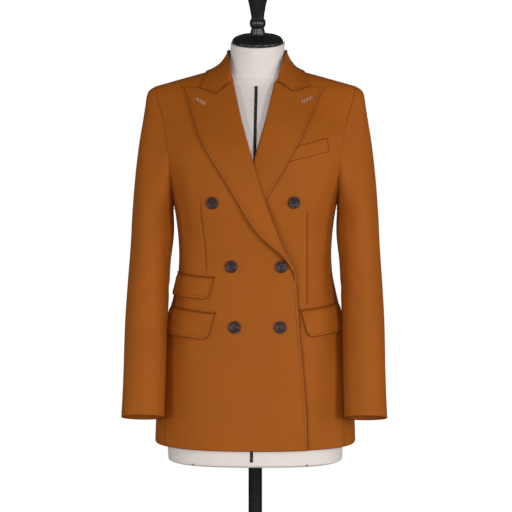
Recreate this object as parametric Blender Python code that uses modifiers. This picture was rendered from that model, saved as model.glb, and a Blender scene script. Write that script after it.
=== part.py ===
"""Double breasted blazer with peak lapels, standing on a padded dress form.

Metres, +Z up. The front faces -Y, and +X is the wearer's left. The origin is on the floor, on the
pole's axis. Every cloth piece is an open sheet on the jacket's surface with a Solidify modifier.
The jacket's surface is lofted through stations from the hem to the shoulder seam.
"""

import bmesh
import bpy
from math import atan, copysign, cos, floor, pi, radians, sin, sqrt
from mathutils import Matrix, Vector

# Driving dimensions
CLOTH = 0.0016
SEAM = 0.0011
SHOULDER_RIDGE = 0.03
CENTRE_X = -0.0015
SIDE_SEAM_AT_HEM = radians(56.0)
BACK_SEAM_AT_HEM = radians(121.0)
HEM_LEVEL = 0.741
HEM_DIP = 0.0085
ARMHOLE_DROP = 0.036
NECK_HALF_WIDTH = 0.0635
OVER_LIFT_UPPER = 0.0056
OVER_LIFT_LOWER = 0.0036
SLEEVE_GAP = 0.0014
SLEEVE_SEAM = 0.0007
BUTTON_DIAMETER = 0.0232
BUTTON_THICKNESS = 0.0036

# Stations of the jacket's outer surface. front and back are the depths from the shifted centre,
# square is the superellipse's exponent, slope tips the upper stations along the shoulder, and arm
# is the half width at the armhole's edge.
STATION_COLUMNS = ("level", "half", "front", "back", "shift", "square", "slope", "arm")
STATIONS = (
    (0.725, 0.1915, 0.1190, 0.1230, 0.000, 2.50, 0.000, 0.1580),
    (0.775, 0.1888, 0.1190, 0.1235, 0.000, 2.50, 0.000, 0.1580),
    (0.825, 0.1852, 0.1182, 0.1230, 0.000, 2.50, 0.000, 0.1580),
    (0.875, 0.1803, 0.1160, 0.1180, 0.000, 2.50, 0.000, 0.1580),
    (0.925, 0.1735, 0.1122, 0.1095, 0.000, 2.45, 0.000, 0.1580),
    (0.975, 0.1648, 0.1075, 0.0960, 0.000, 2.45, 0.000, 0.1580),
    (1.020, 0.1542, 0.1035, 0.0845, 0.000, 2.40, 0.000, 0.1580),
    (1.060, 0.1464, 0.1010, 0.0785, 0.000, 2.40, 0.000, 0.1580),
    (1.100, 0.1450, 0.1025, 0.0775, 0.000, 2.40, 0.000, 0.1580),
    (1.145, 0.1480, 0.1080, 0.0830, 0.000, 2.35, 0.000, 0.1580),
    (1.190, 0.1550, 0.1160, 0.0915, 0.000, 2.35, 0.000, 0.1580),
    (1.232, 0.1670, 0.1172, 0.0990, 0.000, 2.35, 0.000, 0.1580),
    (1.275, 0.1810, 0.1115, 0.1030, 0.001, 2.35, 0.020, 0.1612),
    (1.316, 0.1905, 0.1005, 0.1030, 0.003, 2.35, 0.100, 0.1647),
    (1.354, 0.1962, 0.0860, 0.0980, 0.005, 2.35, 0.190, 0.1695),
    (1.388, 0.2000, 0.0690, 0.0900, 0.007, 2.35, 0.260, 0.1743),
    (1.417, 0.2030, 0.0515, 0.0790, 0.008, 2.35, 0.285, 0.1810),
    (1.441, 0.2050, 0.0340, 0.0650, 0.009, 2.35, 0.285, 0.1870),
    (1.4552, 0.2060, 0.0165, 0.0430, 0.010, 2.35, 0.285, 0.1912),
    (1.4590, 0.2062, 0.0010, 0.0010, 0.010, 2.35, 0.285, 0.1928),
)
ARM_STATION = 11
BACK_NECK_STATION = 17.5
SHOULDER_STATION = 19
PANEL_STATIONS = (tuple(range(10)) + (9.5, 10, 10.5, 11, 11.5, 12, 12.5) + tuple(range(13, 18))
                  + (17.5, 18, 18.5, 19))

# The overlapping front's edge: reach from the centre line, at a height. It is the front edge below
# the break of the lapel and the roll line above it.
EDGE_COLUMNS = ("height", "reach")
EDGE = (
    (0.700, 0.1015),
    (0.798, 0.0991),
    (0.871, 0.0936),
    (0.941, 0.0868),
    (1.002, 0.0828),
    (1.043, 0.0790),
    (1.058, 0.0780),
    (1.072, 0.0760),
    (1.086, 0.0705),
    (1.099, 0.0625),
    (1.113, 0.0550),
    (1.145, 0.0433),
    (1.195, 0.0238),
    (1.222, 0.0138),
    (1.273, -0.0015),
    (1.347, -0.0222),
    (1.396, -0.0345),
    (1.417, -0.0425),
    (1.431, -0.0500),
    (1.4405, -0.0565),
    (1.4444, -0.0635),
)
BREAK_HEIGHT = 1.060
ROLL_SETBACK = 0.002

# Lapels, a row for each line from the roll to the outer edge, from the break up to the gorge. The
# lifts are the outer face's, above the front.
LAPEL_COLUMNS = ("roll_height", "edge_x", "edge_height", "edge_lift", "roll_lift")
LAPEL_OVER = (
    (1.0680, 0.0705, 1.0672, 0.0044, 0.0044),
    (1.0780, 0.0662, 1.0748, 0.0046, 0.0052),
    (1.0890, 0.0612, 1.0828, 0.0048, 0.0056),
    (1.1010, 0.0560, 1.0912, 0.0048, 0.0060),
    (1.1200, 0.0465, 1.1000, 0.0046, 0.0060),
    (1.1430, 0.0275, 1.1145, 0.0042, 0.0058),
    (1.1700, -0.0010, 1.1415, 0.0036, 0.0056),
    (1.2170, -0.0341, 1.1994, 0.0030, 0.0050),
    (1.2620, -0.0609, 1.2465, 0.0028, 0.0046),
    (1.3125, -0.0881, 1.2890, 0.0028, 0.0044),
    (1.3640, -0.1098, 1.3370, 0.0028, 0.0042),
    (1.3980, -0.1225, 1.3785, 0.0028, 0.0040),
    (1.4172, -0.1332, 1.4108, 0.0028, 0.0038),
)
LAPEL_UNDER = (
    (1.0680, -0.0705, 1.0672, 0.0022, 0.0026),
    (1.0780, -0.0662, 1.0748, 0.0024, 0.0028),
    (1.0890, -0.0612, 1.0828, 0.0024, 0.0030),
    (1.1010, -0.0560, 1.0912, 0.0024, 0.0030),
    (1.1200, -0.0465, 1.1000, 0.0024, 0.0030),
    (1.1430, -0.0285, 1.1150, 0.0024, 0.0030),
    (1.1700, -0.0060, 1.1450, 0.0024, 0.0030),
    (1.2100, 0.0222, 1.1958, 0.0026, 0.0030),
    (1.2500, 0.0430, 1.2326, 0.0044, 0.0030),
    (1.3165, 0.0788, 1.2950, 0.0046, 0.0046),
    (1.3640, 0.1003, 1.3405, 0.0036, 0.0042),
    (1.3980, 0.1165, 1.3800, 0.0028, 0.0040),
    (1.4172, 0.1297, 1.4096, 0.0028, 0.0038),
)
GORGE_MID = (0.0710, 1.3985)
GORGE_CORNER = (0.1010, 1.4080)
GORGE_GAP = 0.0018
GORGE_SLOPE = 0.62

# Half of the collar, from the gorge to the centre back: the neck seam and the fold are points,
# and the leaf's outer edge lies on the jacket at a half width and a station.
COLLAR_COLUMNS = ("seam_x", "seam_y", "seam_z", "fold_x", "fold_y", "fold_z", "leaf_x", "leaf_station",
                  "sag")
COLLAR = (
    (0.0465, -0.0345, 1.4245, 0.0415, -0.0390, 1.4235, 0.1020, 16.55, 0.000),
    (0.0530, -0.0215, 1.4400, 0.0478, -0.0225, 1.4540, 0.0968, 17.60, 0.014),
    (0.0590, 0.0000, 1.4500, 0.0535, -0.0020, 1.4720, 0.0935, 18.70, 0.026),
    (0.0625, 0.0160, 1.4520, 0.0555, 0.0150, 1.4790, 0.0920, 19.45, 0.024),
    (0.0600, 0.0400, 1.4510, 0.0530, 0.0370, 1.4810, 0.0850, 20.20, 0.014),
    (0.0400, 0.0625, 1.4500, 0.0360, 0.0575, 1.4800, 0.0550, 20.90, 0.004),
    (0.0000, 0.0710, 1.4490, 0.0000, 0.0680, 1.4800, 0.0000, 21.10, 0.002),
)
COLLAR_LEAF = (0.14, 0.36, 0.68, 1.0)
COLLAR_LEAF_LIFT = 0.0042
COLLAR_STAND_INSET = 0.0010
GORGE_BLEND = 2

# Sleeve below the armhole: height, centre x and y, and half width and depth of each ring.
SLEEVE = (
    (1.1750, 0.1950, -0.0060, 0.0378, 0.0620),
    (1.1300, 0.1957, -0.0110, 0.0388, 0.0600),
    (1.0800, 0.1980, -0.0205, 0.0392, 0.0570),
    (1.0300, 0.2012, -0.0340, 0.0398, 0.0535),
    (0.9800, 0.2035, -0.0495, 0.0400, 0.0495),
    (0.9300, 0.2045, -0.0650, 0.0400, 0.0455),
    (0.8800, 0.2052, -0.0780, 0.0398, 0.0420),
    (0.8300, 0.2065, -0.0880, 0.0400, 0.0392),
    (0.7925, 0.2078, -0.0940, 0.0405, 0.0375),
)
CUFF_TILT = 0.009
# Sleeve head: share of the way down to the first ring, and how far it stands out at the top.
SLEEVE_CAP = (
    (0.00, 0.0000),
    (0.03, 0.0098),
    (0.08, 0.0125),
    (0.16, 0.0118),
    (0.30, 0.0112),
    (0.45, 0.0108),
    (0.62, 0.0086),
    (0.82, 0.0048),
)
RING = 20
FRONT_SLEEVE_SEAM = 8
BACK_SLEEVE_SEAM = 14

# Pockets: where the top edge starts and ends, by half width or angle, and the flap's depth.
POCKET_COLUMNS = ("inner_x", "inner_height", "outer_angle", "outer_height", "depth")
MAIN_POCKET_RIGHT = (-0.0725, 0.9850, radians(-76.0), 0.9965, 0.0470)
MAIN_POCKET_LEFT = (0.0865, 0.9900, radians(76.0), 1.0030, 0.0470)
TICKET_POCKET = (-0.0733, 1.0515, radians(-74.0), 1.0575, 0.0390)
FLAP_ROUND = 0.014
FLAP_LENGTH = 0.135
FLAP_SLANT = 0.9
FLAP_COLUMN_CROWDING = 1.35
FLAP_LIFT = 0.0027
FLAP_CLOTH = 0.0018
JET_LIFT = 0.0021
JET_CLOTH = 0.0014
JET_OVERRUN = 0.012
JET_DEPTH = 0.0052

BUTTON_ROWS = (
    ("1", 1.1945, -0.0750, 0.0738),
    ("2", 1.0755, -0.0414, 0.0496),
    ("3", 0.9625, -0.0355, 0.0482),
)

# Dress form
FORM_COLUMNS = ("level", "half", "front", "back", "shift", "square", "lean")
FORM = (
    (0.7005, 0.1560, 0.1060, 0.1050, 0.000, 2.60, 0.000),
    (0.7035, 0.1630, 0.1130, 0.1110, 0.000, 2.60, 0.000),
    (0.7120, 0.1662, 0.1155, 0.1135, 0.000, 2.60, 0.000),
    (0.7700, 0.1675, 0.1145, 0.1145, 0.000, 2.50, 0.000),
    (0.8250, 0.1655, 0.1125, 0.1130, 0.000, 2.45, 0.000),
    (0.8750, 0.1610, 0.1095, 0.1070, 0.000, 2.40, 0.000),
    (0.9250, 0.1545, 0.1050, 0.0985, 0.000, 2.35, 0.000),
    (0.9750, 0.1460, 0.0995, 0.0860, 0.000, 2.30, 0.000),
    (1.0200, 0.1370, 0.0950, 0.0750, 0.000, 2.30, 0.000),
    (1.0600, 0.1310, 0.0925, 0.0690, 0.000, 2.30, 0.000),
    (1.1000, 0.1300, 0.0935, 0.0680, 0.000, 2.30, 0.000),
    (1.1450, 0.1335, 0.0990, 0.0735, 0.000, 2.30, 0.000),
    (1.1900, 0.1395, 0.1065, 0.0820, 0.000, 2.25, 0.000),
    (1.2320, 0.1450, 0.1080, 0.0890, 0.000, 2.20, 0.000),
    (1.2750, 0.1490, 0.1015, 0.0925, 0.001, 2.15, 0.000),
    (1.3160, 0.1520, 0.0900, 0.0920, 0.003, 2.10, 0.000),
    (1.3500, 0.1560, 0.0765, 0.0860, 0.005, 2.00, 0.000),
    (1.3750, 0.1570, 0.0650, 0.0770, 0.007, 1.85, 0.000),
    (1.3950, 0.1500, 0.0550, 0.0680, 0.008, 1.65, 0.010),
    (1.4120, 0.1270, 0.0490, 0.0590, 0.009, 1.45, 0.030),
    (1.4240, 0.0960, 0.0475, 0.0540, 0.010, 1.45, 0.060),
    (1.4340, 0.0700, 0.0475, 0.0510, 0.011, 1.65, 0.100),
    (1.4440, 0.0560, 0.0485, 0.0500, 0.012, 1.90, 0.150),
    (1.4580, 0.0522, 0.0495, 0.0500, 0.013, 2.00, 0.200),
    (1.4760, 0.0515, 0.0500, 0.0500, 0.014, 2.00, 0.240),
    (1.4950, 0.0512, 0.0500, 0.0500, 0.014, 2.00, 0.268),
)
FORM_SIDES = 40
NECK_X = 0.0055
NECK_X_FROM = 1.42
NECK_X_RUN = 0.10
TAPE_WIDTH = 0.0056
TAPE_THICKNESS = 0.0006
TAPE_LOW = 0.712
TAPE_TOP = 1.412
TAPE_LOW_X = -0.0045
TAPE_HIGH_X = 0.0026
CAP_RADIUS = 0.0487
POLE_RADIUS = 0.013
BASE_RADIUS = 0.175
BASE_THICKNESS = 0.012
CONTACT_GAP = 0.0003

COLOURS = {
    "cloth": ((0.330, 0.086, 0.009, 1.0), 0.80, 0.0),
    "button": ((0.040, 0.018, 0.020, 1.0), 0.30, 0.0),
    "linen": ((0.760, 0.710, 0.680, 1.0), 0.90, 0.0),
    "tape": ((0.020, 0.020, 0.022, 1.0), 0.80, 0.0),
    "lacquer": ((0.012, 0.011, 0.012, 1.0), 0.20, 0.0),
    "black_steel": ((0.014, 0.014, 0.015, 1.0), 0.35, 0.6),
}


def clear_scene():
    for thing in list(bpy.data.objects):
        bpy.data.objects.remove(thing, do_unlink=True)


def make_collection(name):
    collection = bpy.data.collections.new(name)
    bpy.context.scene.collection.children.link(collection)
    return collection


def material_for(name, finish):
    colour, roughness, metallic = COLOURS[finish]
    material = bpy.data.materials.new(name)
    material.use_nodes = True
    shader = material.node_tree.nodes["Principled BSDF"]
    shader.inputs["Base Color"].default_value = colour
    shader.inputs["Roughness"].default_value = roughness
    shader.inputs["Metallic"].default_value = metallic
    material.diffuse_color = colour
    return material


def add_object(name, mesh, finish, collection):
    piece = bpy.data.objects.new(name, mesh)
    mesh.materials.clear()
    mesh.materials.append(material_for(name, finish))
    collection.objects.link(piece)
    return piece


# Reading the tables

def column(rows, names, name, place):
    """Value of a named column at a place counted in rows, on a smooth curve through the rows."""
    index = names.index(name)
    values = [row[index] for row in rows]
    last = len(values) - 1
    start = min(max(int(floor(place)), 0), last - 1)
    share = min(max(place - start, 0.0), 1.0)
    near, far = values[start], values[start + 1]
    before = values[start - 1] if start > 0 else 2 * near - far
    after = values[start + 2] if start + 2 <= last else 2 * far - near
    rise_near, rise_far = (far - before) / 2, (after - near) / 2
    return (near * (2 * share**3 - 3 * share**2 + 1) + rise_near * (share**3 - 2 * share**2 + share)
            + far * (3 * share**2 - 2 * share**3) + rise_far * (share**3 - share**2))


def read_at(rows, names, name, key, value):
    """Value of a named column where the key column, which rises, reaches a value."""
    keys = [row[names.index(key)] for row in rows]
    values = [row[names.index(name)] for row in rows]
    value = min(max(value, keys[0]), keys[-1])
    start = max(i for i in range(len(keys) - 1) if keys[i] <= value or i == 0)
    share = (value - keys[start]) / (keys[start + 1] - keys[start])
    return values[start] + (values[start + 1] - values[start]) * share


def ease(value):
    value = min(max(value, 0.0), 1.0)
    return value * value * (3 - 2 * value)


# The jacket's surface

def station(name, place):
    return column(STATIONS, STATION_COLUMNS, name, place)


def superellipse(angle, square):
    """Unit outline: the sine side and the cosine side at an angle from the front's middle."""
    across, along = sin(angle), cos(angle)
    reach = (abs(across)**square + abs(along)**square) ** (-1 / square)
    return across * reach, along * reach


def jacket(angle, place):
    """Point on the jacket's outer surface. Angle 0 is the front's middle, 90 degrees is +X."""
    across, along = superellipse(angle, station("square", place))
    depth = station("front", place) if along > 0 else station("back", place)
    x = station("half", place) * across
    fall = station("slope", place) * (sqrt(x * x + SHOULDER_RIDGE**2) - SHOULDER_RIDGE)
    return Vector((x, station("shift", place) - depth * along, station("level", place) - fall))


def jacket_lifted(angle, place, lift):
    """Point on the jacket's surface, moved out along its normal."""
    step = 0.01
    low, high = max(place - step, 0.0), min(place + step, SHOULDER_STATION)
    along = jacket(angle + step, place) - jacket(angle - step, place)
    up = jacket(angle, high) - jacket(angle, low)
    return jacket(angle, place) + along.cross(up).normalized() * lift


def angle_at(x, place, back=False):
    """Angle where the surface has a given half width at a station."""
    square = station("square", place)
    share = min(abs(x / station("half", place)) ** square, 0.9999)
    angle = copysign(atan((share / (1 - share)) ** (1 / square)), x)
    return copysign(pi, x) - angle if back else angle


def place_at(x, height):
    """Station whose surface has a given height at a given x."""
    low, high = 0.0, float(SHOULDER_STATION)
    for _ in range(40):
        middle = (low + high) / 2
        fall = station("slope", middle) * (sqrt(x * x + SHOULDER_RIDGE**2) - SHOULDER_RIDGE)
        if station("level", middle) - fall < height:
            low = middle
        else:
            high = middle
    return (low + high) / 2


def over_lift(x, height):
    """How far the overlapping front stands off the jacket's surface."""
    upper = ease((height - 0.99) / 0.06)
    lift = OVER_LIFT_LOWER + (OVER_LIFT_UPPER - OVER_LIFT_LOWER) * upper
    closed = 1 - ease((height - 1.285) / 0.07)
    across = ease((x + 0.160) / 0.050)
    return lift * closed * across


def on_front(x, height, lift, over=False):
    """Point above a front at a given x and height, clear of the front by the lift."""
    place = place_at(x, height)
    extra = over_lift(x, height) if over else 0.0
    return jacket_lifted(angle_at(x, place), place, lift + extra)


def on_side(angle, height, lift, over=False):
    """Point above the jacket at a given angle and height."""
    x = jacket(angle, place_at(0.15, height)).x
    extra = over_lift(x, height) if over else 0.0
    return jacket_lifted(angle, place_at(x, height), lift + extra)


def edge_reach(height):
    return read_at(EDGE, EDGE_COLUMNS, "reach", "height", height)


def hem_place(angle):
    """Station of the hem, which dips a little toward the middle of the front."""
    dip = HEM_DIP * max(cos(angle), 0.0) ** 0.7
    return place_at(0.0, HEM_LEVEL - dip)


def side_seam(place):
    """Angle of the seam between front and side body."""
    top = angle_at(station("arm", ARM_STATION), ARM_STATION)
    return SIDE_SEAM_AT_HEM + (top - SIDE_SEAM_AT_HEM) * min(place / ARM_STATION, 1.0)


def back_seam(place):
    """Angle of the seam between side body and back."""
    top = angle_at(station("arm", ARM_STATION), ARM_STATION, back=True)
    return BACK_SEAM_AT_HEM + (top - BACK_SEAM_AT_HEM) * min(place / ARM_STATION, 1.0)


# Building sheets

def grid_mesh(name, columns, rows, point, flip=False, closed=False):
    """Quad grid whose vertex (column, row) is placed by a function. Closed joins its sides."""
    bm = bmesh.new()
    bmesh.ops.create_grid(bm, x_segments=columns, y_segments=rows, size=1.0)
    for vert in bm.verts:
        across = round((vert.co.x + 1) / 2 * columns)
        up = round((vert.co.y + 1) / 2 * rows)
        vert.co = point(across, up)
    if closed:
        bmesh.ops.remove_doubles(bm, verts=bm.verts, dist=0.00005)
    if flip:
        bmesh.ops.reverse_faces(bm, faces=bm.faces)
    mesh = bpy.data.meshes.new(name)
    bm.to_mesh(mesh)
    bm.free()
    mesh.shade_smooth()
    return mesh


def cloth(name, columns, rows, point, collection, thickness=CLOTH, flip=False, finish="cloth"):
    """Cloth piece: a sheet whose outer face is placed by a function, thickened inward."""
    piece = add_object(name, grid_mesh(name, columns, rows, point, flip), finish, collection)
    wall = piece.modifiers.new("Wall", "SOLIDIFY")
    wall.thickness = thickness
    wall.offset = -1.0
    return piece


def seam_angle(place):
    """Half of a seam's gap as an angle."""
    return SEAM / 2 / station("half", place)


# Body panels

def front(name, side, collection):
    """A front. Side -1 is the wearer's right, which laps over the left one."""
    over = side < 0
    columns = 12

    def point(across, up):
        place = PANEL_STATIONS[up]
        seam = side * (side_seam(place) - seam_angle(place))
        if place > ARM_STATION:
            seam = angle_at(side * station("arm", place), place)
        if up == 0:
            place = hem_place(seam * across / columns)
        height = station("level", place)
        for _ in range(6):
            roll = ease((height - BREAK_HEIGHT) / 0.02) * ROLL_SETBACK
            x = CENTRE_X - side * (edge_reach(height) - roll)
            fall = station("slope", place) * (sqrt(x * x + SHOULDER_RIDGE**2) - SHOULDER_RIDGE)
            height = station("level", place) - fall
        start = angle_at(x, place)
        angle = start + (seam - start) * across / columns
        spot = jacket(angle, place)
        return jacket_lifted(angle, place, over_lift(spot.x, spot.z) if over else 0.0)

    return cloth(name, columns, len(PANEL_STATIONS) - 1, point, collection, flip=over)


def armhole_low(angle):
    """Station of the side body's top edge, which scoops under the arm."""
    start, end = side_seam(ARM_STATION), back_seam(ARM_STATION)
    share = (abs(angle) - start) / (end - start)
    scoop = 1 - (2 * share - 1) ** 2
    return place_at(0.0, station("level", ARM_STATION) - ARMHOLE_DROP * max(scoop, 0.0))


def side_body(name, side, collection):
    columns = 4
    stations = [place for place in PANEL_STATIONS if place <= ARM_STATION]

    def point(across, up):
        share = across / columns
        top_angle = side_seam(ARM_STATION) * (1 - share) + back_seam(ARM_STATION) * share
        top = armhole_low(top_angle)
        place = top * stations[up] / ARM_STATION
        start, end = side_seam(place) + seam_angle(place), back_seam(place) - seam_angle(place)
        angle = start + (end - start) * share
        if up == 0:
            place = hem_place(angle)
        return jacket(side * angle, place)

    return cloth(name, columns, len(stations) - 1, point, collection, flip=side < 0)


def back(name, side, collection):
    columns = 7

    def point(across, up):
        place = PANEL_STATIONS[up]
        seam = back_seam(place) + seam_angle(place)
        if place > ARM_STATION:
            seam = angle_at(station("arm", place), place, back=True)
        if up == 0:
            place = place_at(0.0, HEM_LEVEL)
        inner = SEAM / 2
        if place > BACK_NECK_STATION:
            rise = (SHOULDER_STATION - place) / (SHOULDER_STATION - BACK_NECK_STATION)
            inner = max(NECK_HALF_WIDTH * sqrt(1 - rise * rise), inner)
        middle = angle_at(inner, place, back=True)
        return jacket(side * (seam + (middle - seam) * across / columns), place)

    return cloth(name, columns, len(PANEL_STATIONS) - 1, point, collection, flip=side < 0)


# Lapels and collar

def gorge_line(side, share):
    """Point (x, height) on the gorge from the roll line, by the corner, to the lapel's tip."""
    over = side < 0
    rows = LAPEL_OVER if over else LAPEL_UNDER
    roll_height, tip_x, tip_height = rows[-1][:3]
    roll_x = CENTRE_X - side * edge_reach(roll_height)
    stops = ((0.0, roll_x, roll_height), (0.36, side * GORGE_MID[0], GORGE_MID[1]),
             (0.68, side * GORGE_CORNER[0], GORGE_CORNER[1]), (1.0, tip_x, tip_height))
    for near, far in zip(stops, stops[1:]):
        if share <= far[0]:
            part = (share - near[0]) / (far[0] - near[0])
            return near[1] + (far[1] - near[1]) * part, near[2] + (far[2] - near[2]) * part
    return tip_x, tip_height


def lapel(name, side, collection):
    """A peak lapel, from its break up to the gorge, with a soft roll at its fold."""
    over = side < 0
    rows = LAPEL_OVER if over else LAPEL_UNDER
    shares = (0.18, 0.36, 0.52, 0.68, 0.84, 1.0)
    roll = ((0.0, 0.45), (0.0008, 0.85), (0.0035, 1.0))
    steps = 20

    def point(across, up):
        place = up / steps * (len(rows) - 1)
        roll_height = column(rows, LAPEL_COLUMNS, "roll_height", place)
        roll_lift = column(rows, LAPEL_COLUMNS, "roll_lift", place)
        edge_lift = column(rows, LAPEL_COLUMNS, "edge_lift", place)
        roll_x = CENTRE_X - side * edge_reach(roll_height)
        if across < len(roll):
            inset, share_up = roll[across]
            drop = (GORGE_SLOPE * inset + GORGE_GAP) if up == steps else 0.0
            return on_front(roll_x + side * inset, roll_height - drop, roll_lift * share_up, over)
        share = shares[across - len(roll)]
        x = roll_x + (column(rows, LAPEL_COLUMNS, "edge_x", place) - roll_x) * share
        end_height = column(rows, LAPEL_COLUMNS, "edge_height", place)
        height = roll_height + (end_height - roll_height) * share
        top = max(0.0, (place - (len(rows) - 4)) / 3) ** 2
        gorge_x, gorge_height = gorge_line(side, share)
        top_roll_x = CENTRE_X - side * edge_reach(rows[-1][0])
        x += (gorge_x - top_roll_x - (rows[-1][1] - top_roll_x) * share) * top
        height += (gorge_height - rows[-1][0] - (rows[-1][2] - rows[-1][0]) * share) * top
        height -= GORGE_GAP if up == steps else 0.0
        return on_front(x, height, roll_lift + (edge_lift - roll_lift) * share, over)

    return cloth(name, len(roll) + len(shares) - 1, steps, point, collection, flip=over)


def collar_value(name, place):
    return column(COLLAR, COLLAR_COLUMNS, name, place)


def collar_stand_point(place, across):
    """Point on the stand: 0 the neck seam, 1 and 2 on the way up, 3 the fold."""
    seam = Vector([collar_value("seam_" + axis, place) for axis in "xyz"])
    fold = Vector([collar_value("fold_" + axis, place) for axis in "xyz"])
    inward = Vector((fold.x, fold.y - 0.010, 0.0)).normalized() * -COLLAR_STAND_INSET
    height = min((fold - seam).length / 0.03, 1.0)
    if across == 0:
        return seam
    if across == 3:
        return fold + (inward * 0.2 + Vector((0.0, 0.0, 0.0012))) * height
    return seam.lerp(fold, 0.55 if across == 1 else 0.90) + inward * height


def collar_leaf_point(place, share):
    """Point on the leaf, at a share of the way from the fold to its outer edge on the jacket."""
    fold = Vector([collar_value("fold_" + axis, place) for axis in "xyz"])
    where = collar_value("leaf_station", place)
    behind = where > SHOULDER_STATION
    where = 2 * SHOULDER_STATION - where if behind else where
    x = max(collar_value("leaf_x", place), 0.0001)
    edge = jacket_lifted(angle_at(x, where, behind), where, COLLAR_LEAF_LIFT)
    spot = fold.lerp(edge, share)
    outward = Vector((spot.x, spot.y - 0.005, 0.045)).normalized()
    return spot - outward * collar_value("sag", place) * share * (1 - share)


def collar(collection):
    """Collar in one piece from gorge to gorge round the neck: stand, fold and leaf."""
    half = 2 * (len(COLLAR) - 1)

    def point(across, up):
        hand = 1 if up <= half else -1
        place = min(up, 2 * half - up) / 2
        if across < 4:
            spot = collar_stand_point(place, across)
            lean = neck_offset(spot.z)
        else:
            share = COLLAR_LEAF[across - 4]
            spot = collar_leaf_point(place, share)
            lean = neck_offset(collar_value("fold_z", place)) * (1 - share)
            if place < GORGE_BLEND:
                gorge_x, gorge_height = gorge_line(1, 0.68 * share)
                flat = on_front(gorge_x, gorge_height, COLLAR_LEAF_LIFT)
                spot = flat.lerp(spot, ease(place / GORGE_BLEND))
                lean *= ease(place / GORGE_BLEND)
        if up == half:
            spot.x = 0.0
        return Vector((hand * spot.x + lean, spot.y, spot.z))

    return cloth("collar", 3 + len(COLLAR_LEAF), 2 * half, point, collection)


# Sleeves

def armhole_point(place):
    """Point on the armhole, counted in ring steps from the shoulder, by the front, and back."""
    place = place % RING
    start = int(floor(place)) % RING
    share = place - floor(place)

    def stop(index):
        index = index % RING
        front_low = SHOULDER_STATION - ARM_STATION
        if index <= front_low:
            where = SHOULDER_STATION - index
            return jacket(angle_at(station("arm", where), where), where)
        if index >= RING - front_low:
            where = SHOULDER_STATION - (RING - index)
            return jacket(angle_at(station("arm", where), where, back=True), where)
        part = (index - front_low) / (RING - 2 * front_low)
        angle = side_seam(ARM_STATION) * (1 - part) + back_seam(ARM_STATION) * part
        return jacket(angle, armhole_low(angle))

    return stop(start).lerp(stop(start + 1), share)


def sleeve_ring(place, row):
    """Point on the hanging part of the sleeve at a ring place and a table row."""
    turn = 2 * pi * place / RING
    x = SLEEVE[row][1] + SLEEVE[row][3] * cos(turn)
    y = SLEEVE[row][2] - SLEEVE[row][4] * sin(turn)
    tilt = CUFF_TILT * sin(turn) * (row / (len(SLEEVE) - 1)) ** 2
    return Vector((x, y, SLEEVE[row][0] + tilt))


def sleeve_point(place, up, side):
    """Point on the sleeve. Rows count down from the armhole to the cuff."""
    caps = len(SLEEVE_CAP)
    if up >= caps:
        spot = sleeve_ring(place, up - caps)
    else:
        share, bulge = SLEEVE_CAP[up]
        start = armhole_point(place) + Vector((SLEEVE_GAP, 0.0, 0.0))
        top = max(cos(2 * pi * place / RING), 0.0)
        spot = start.lerp(sleeve_ring(place, 0), share) + Vector((bulge * top, 0.0, 0.0))
    return Vector((side * spot.x, spot.y, spot.z))


def sleeve(name, side, first, last, collection):
    """Sleeve piece between two ring places. Places past the ring's end wrap round."""
    rows = len(SLEEVE_CAP) + len(SLEEVE) - 1
    columns = last - first

    def point(across, up):
        place, row = first + across, rows - up
        spot = sleeve_point(place, row, side)
        if across in (0, columns):
            low = sleeve_point(place, min(row + 1, rows), side)
            high = sleeve_point(place, max(row - 1, 0), side)
            along = (high - low).normalized()
            around = sleeve_point(place + 0.1, row, side) - sleeve_point(place - 0.1, row, side)
            sideways = (around - along * around.dot(along)).normalized()
            spot += sideways * (SLEEVE_SEAM if across == 0 else -SLEEVE_SEAM)
        return spot

    return cloth(name, columns, rows, point, collection, flip=side > 0)


# Pockets

def flap_point(pocket, side, over, along, down, lift):
    """Point on a pocket, at a share along its top edge and a distance down from it."""
    inner_x, inner_height, outer_angle, outer_height, _ = pocket
    start = angle_at(inner_x, place_at(inner_x, inner_height))
    angle = start + (outer_angle - start) * along + side * FLAP_SLANT * down * (1 - along)
    height = inner_height + (outer_height - inner_height) * along - down
    return on_side(angle, height, lift, over)


def pocket_flap(name, side, pocket, over, collection):
    columns, rows = 12, 3
    depth = pocket[POCKET_COLUMNS.index("depth")]

    def point(across, up):
        along = (across / columns) ** FLAP_COLUMN_CROWDING
        near = max(1 - along * FLAP_LENGTH / FLAP_ROUND, 0.0)
        reach = depth - FLAP_ROUND * (1 - sqrt(1 - near * near))
        return flap_point(pocket, side, over, along, reach * (1 - up / rows), FLAP_LIFT)

    return cloth(name, columns, rows, point, collection, thickness=FLAP_CLOTH, flip=side < 0)


def pocket_jet(name, side, pocket, over, collection):
    columns = 8

    def point(across, up):
        along = -JET_OVERRUN + across / columns * (1 + JET_OVERRUN)
        return flap_point(pocket, side, over, along, -0.0008 - JET_DEPTH * up, JET_LIFT)

    return cloth(name, columns, 1, point, collection, thickness=JET_CLOTH, flip=side < 0)


def breast_welt(collection):
    """Breast welt on the wearer's left. Its inner end runs under the lapel."""
    low_start, low_end = Vector((0.0600, 1.2680)), Vector((0.1387, 1.2878))
    high_start, high_end = Vector((0.0710, 1.2955)), Vector((0.1359, 1.3139))
    columns, rows = 6, 2

    def point(across, up):
        low = low_start.lerp(low_end, across / columns)
        high = high_start.lerp(high_end, across / columns)
        spot = low.lerp(high, up / rows)
        return on_front(spot.x, spot.y, 0.0014)

    return cloth("breast_welt", columns, rows, point, collection, thickness=0.0011)


# Turned pieces

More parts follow.
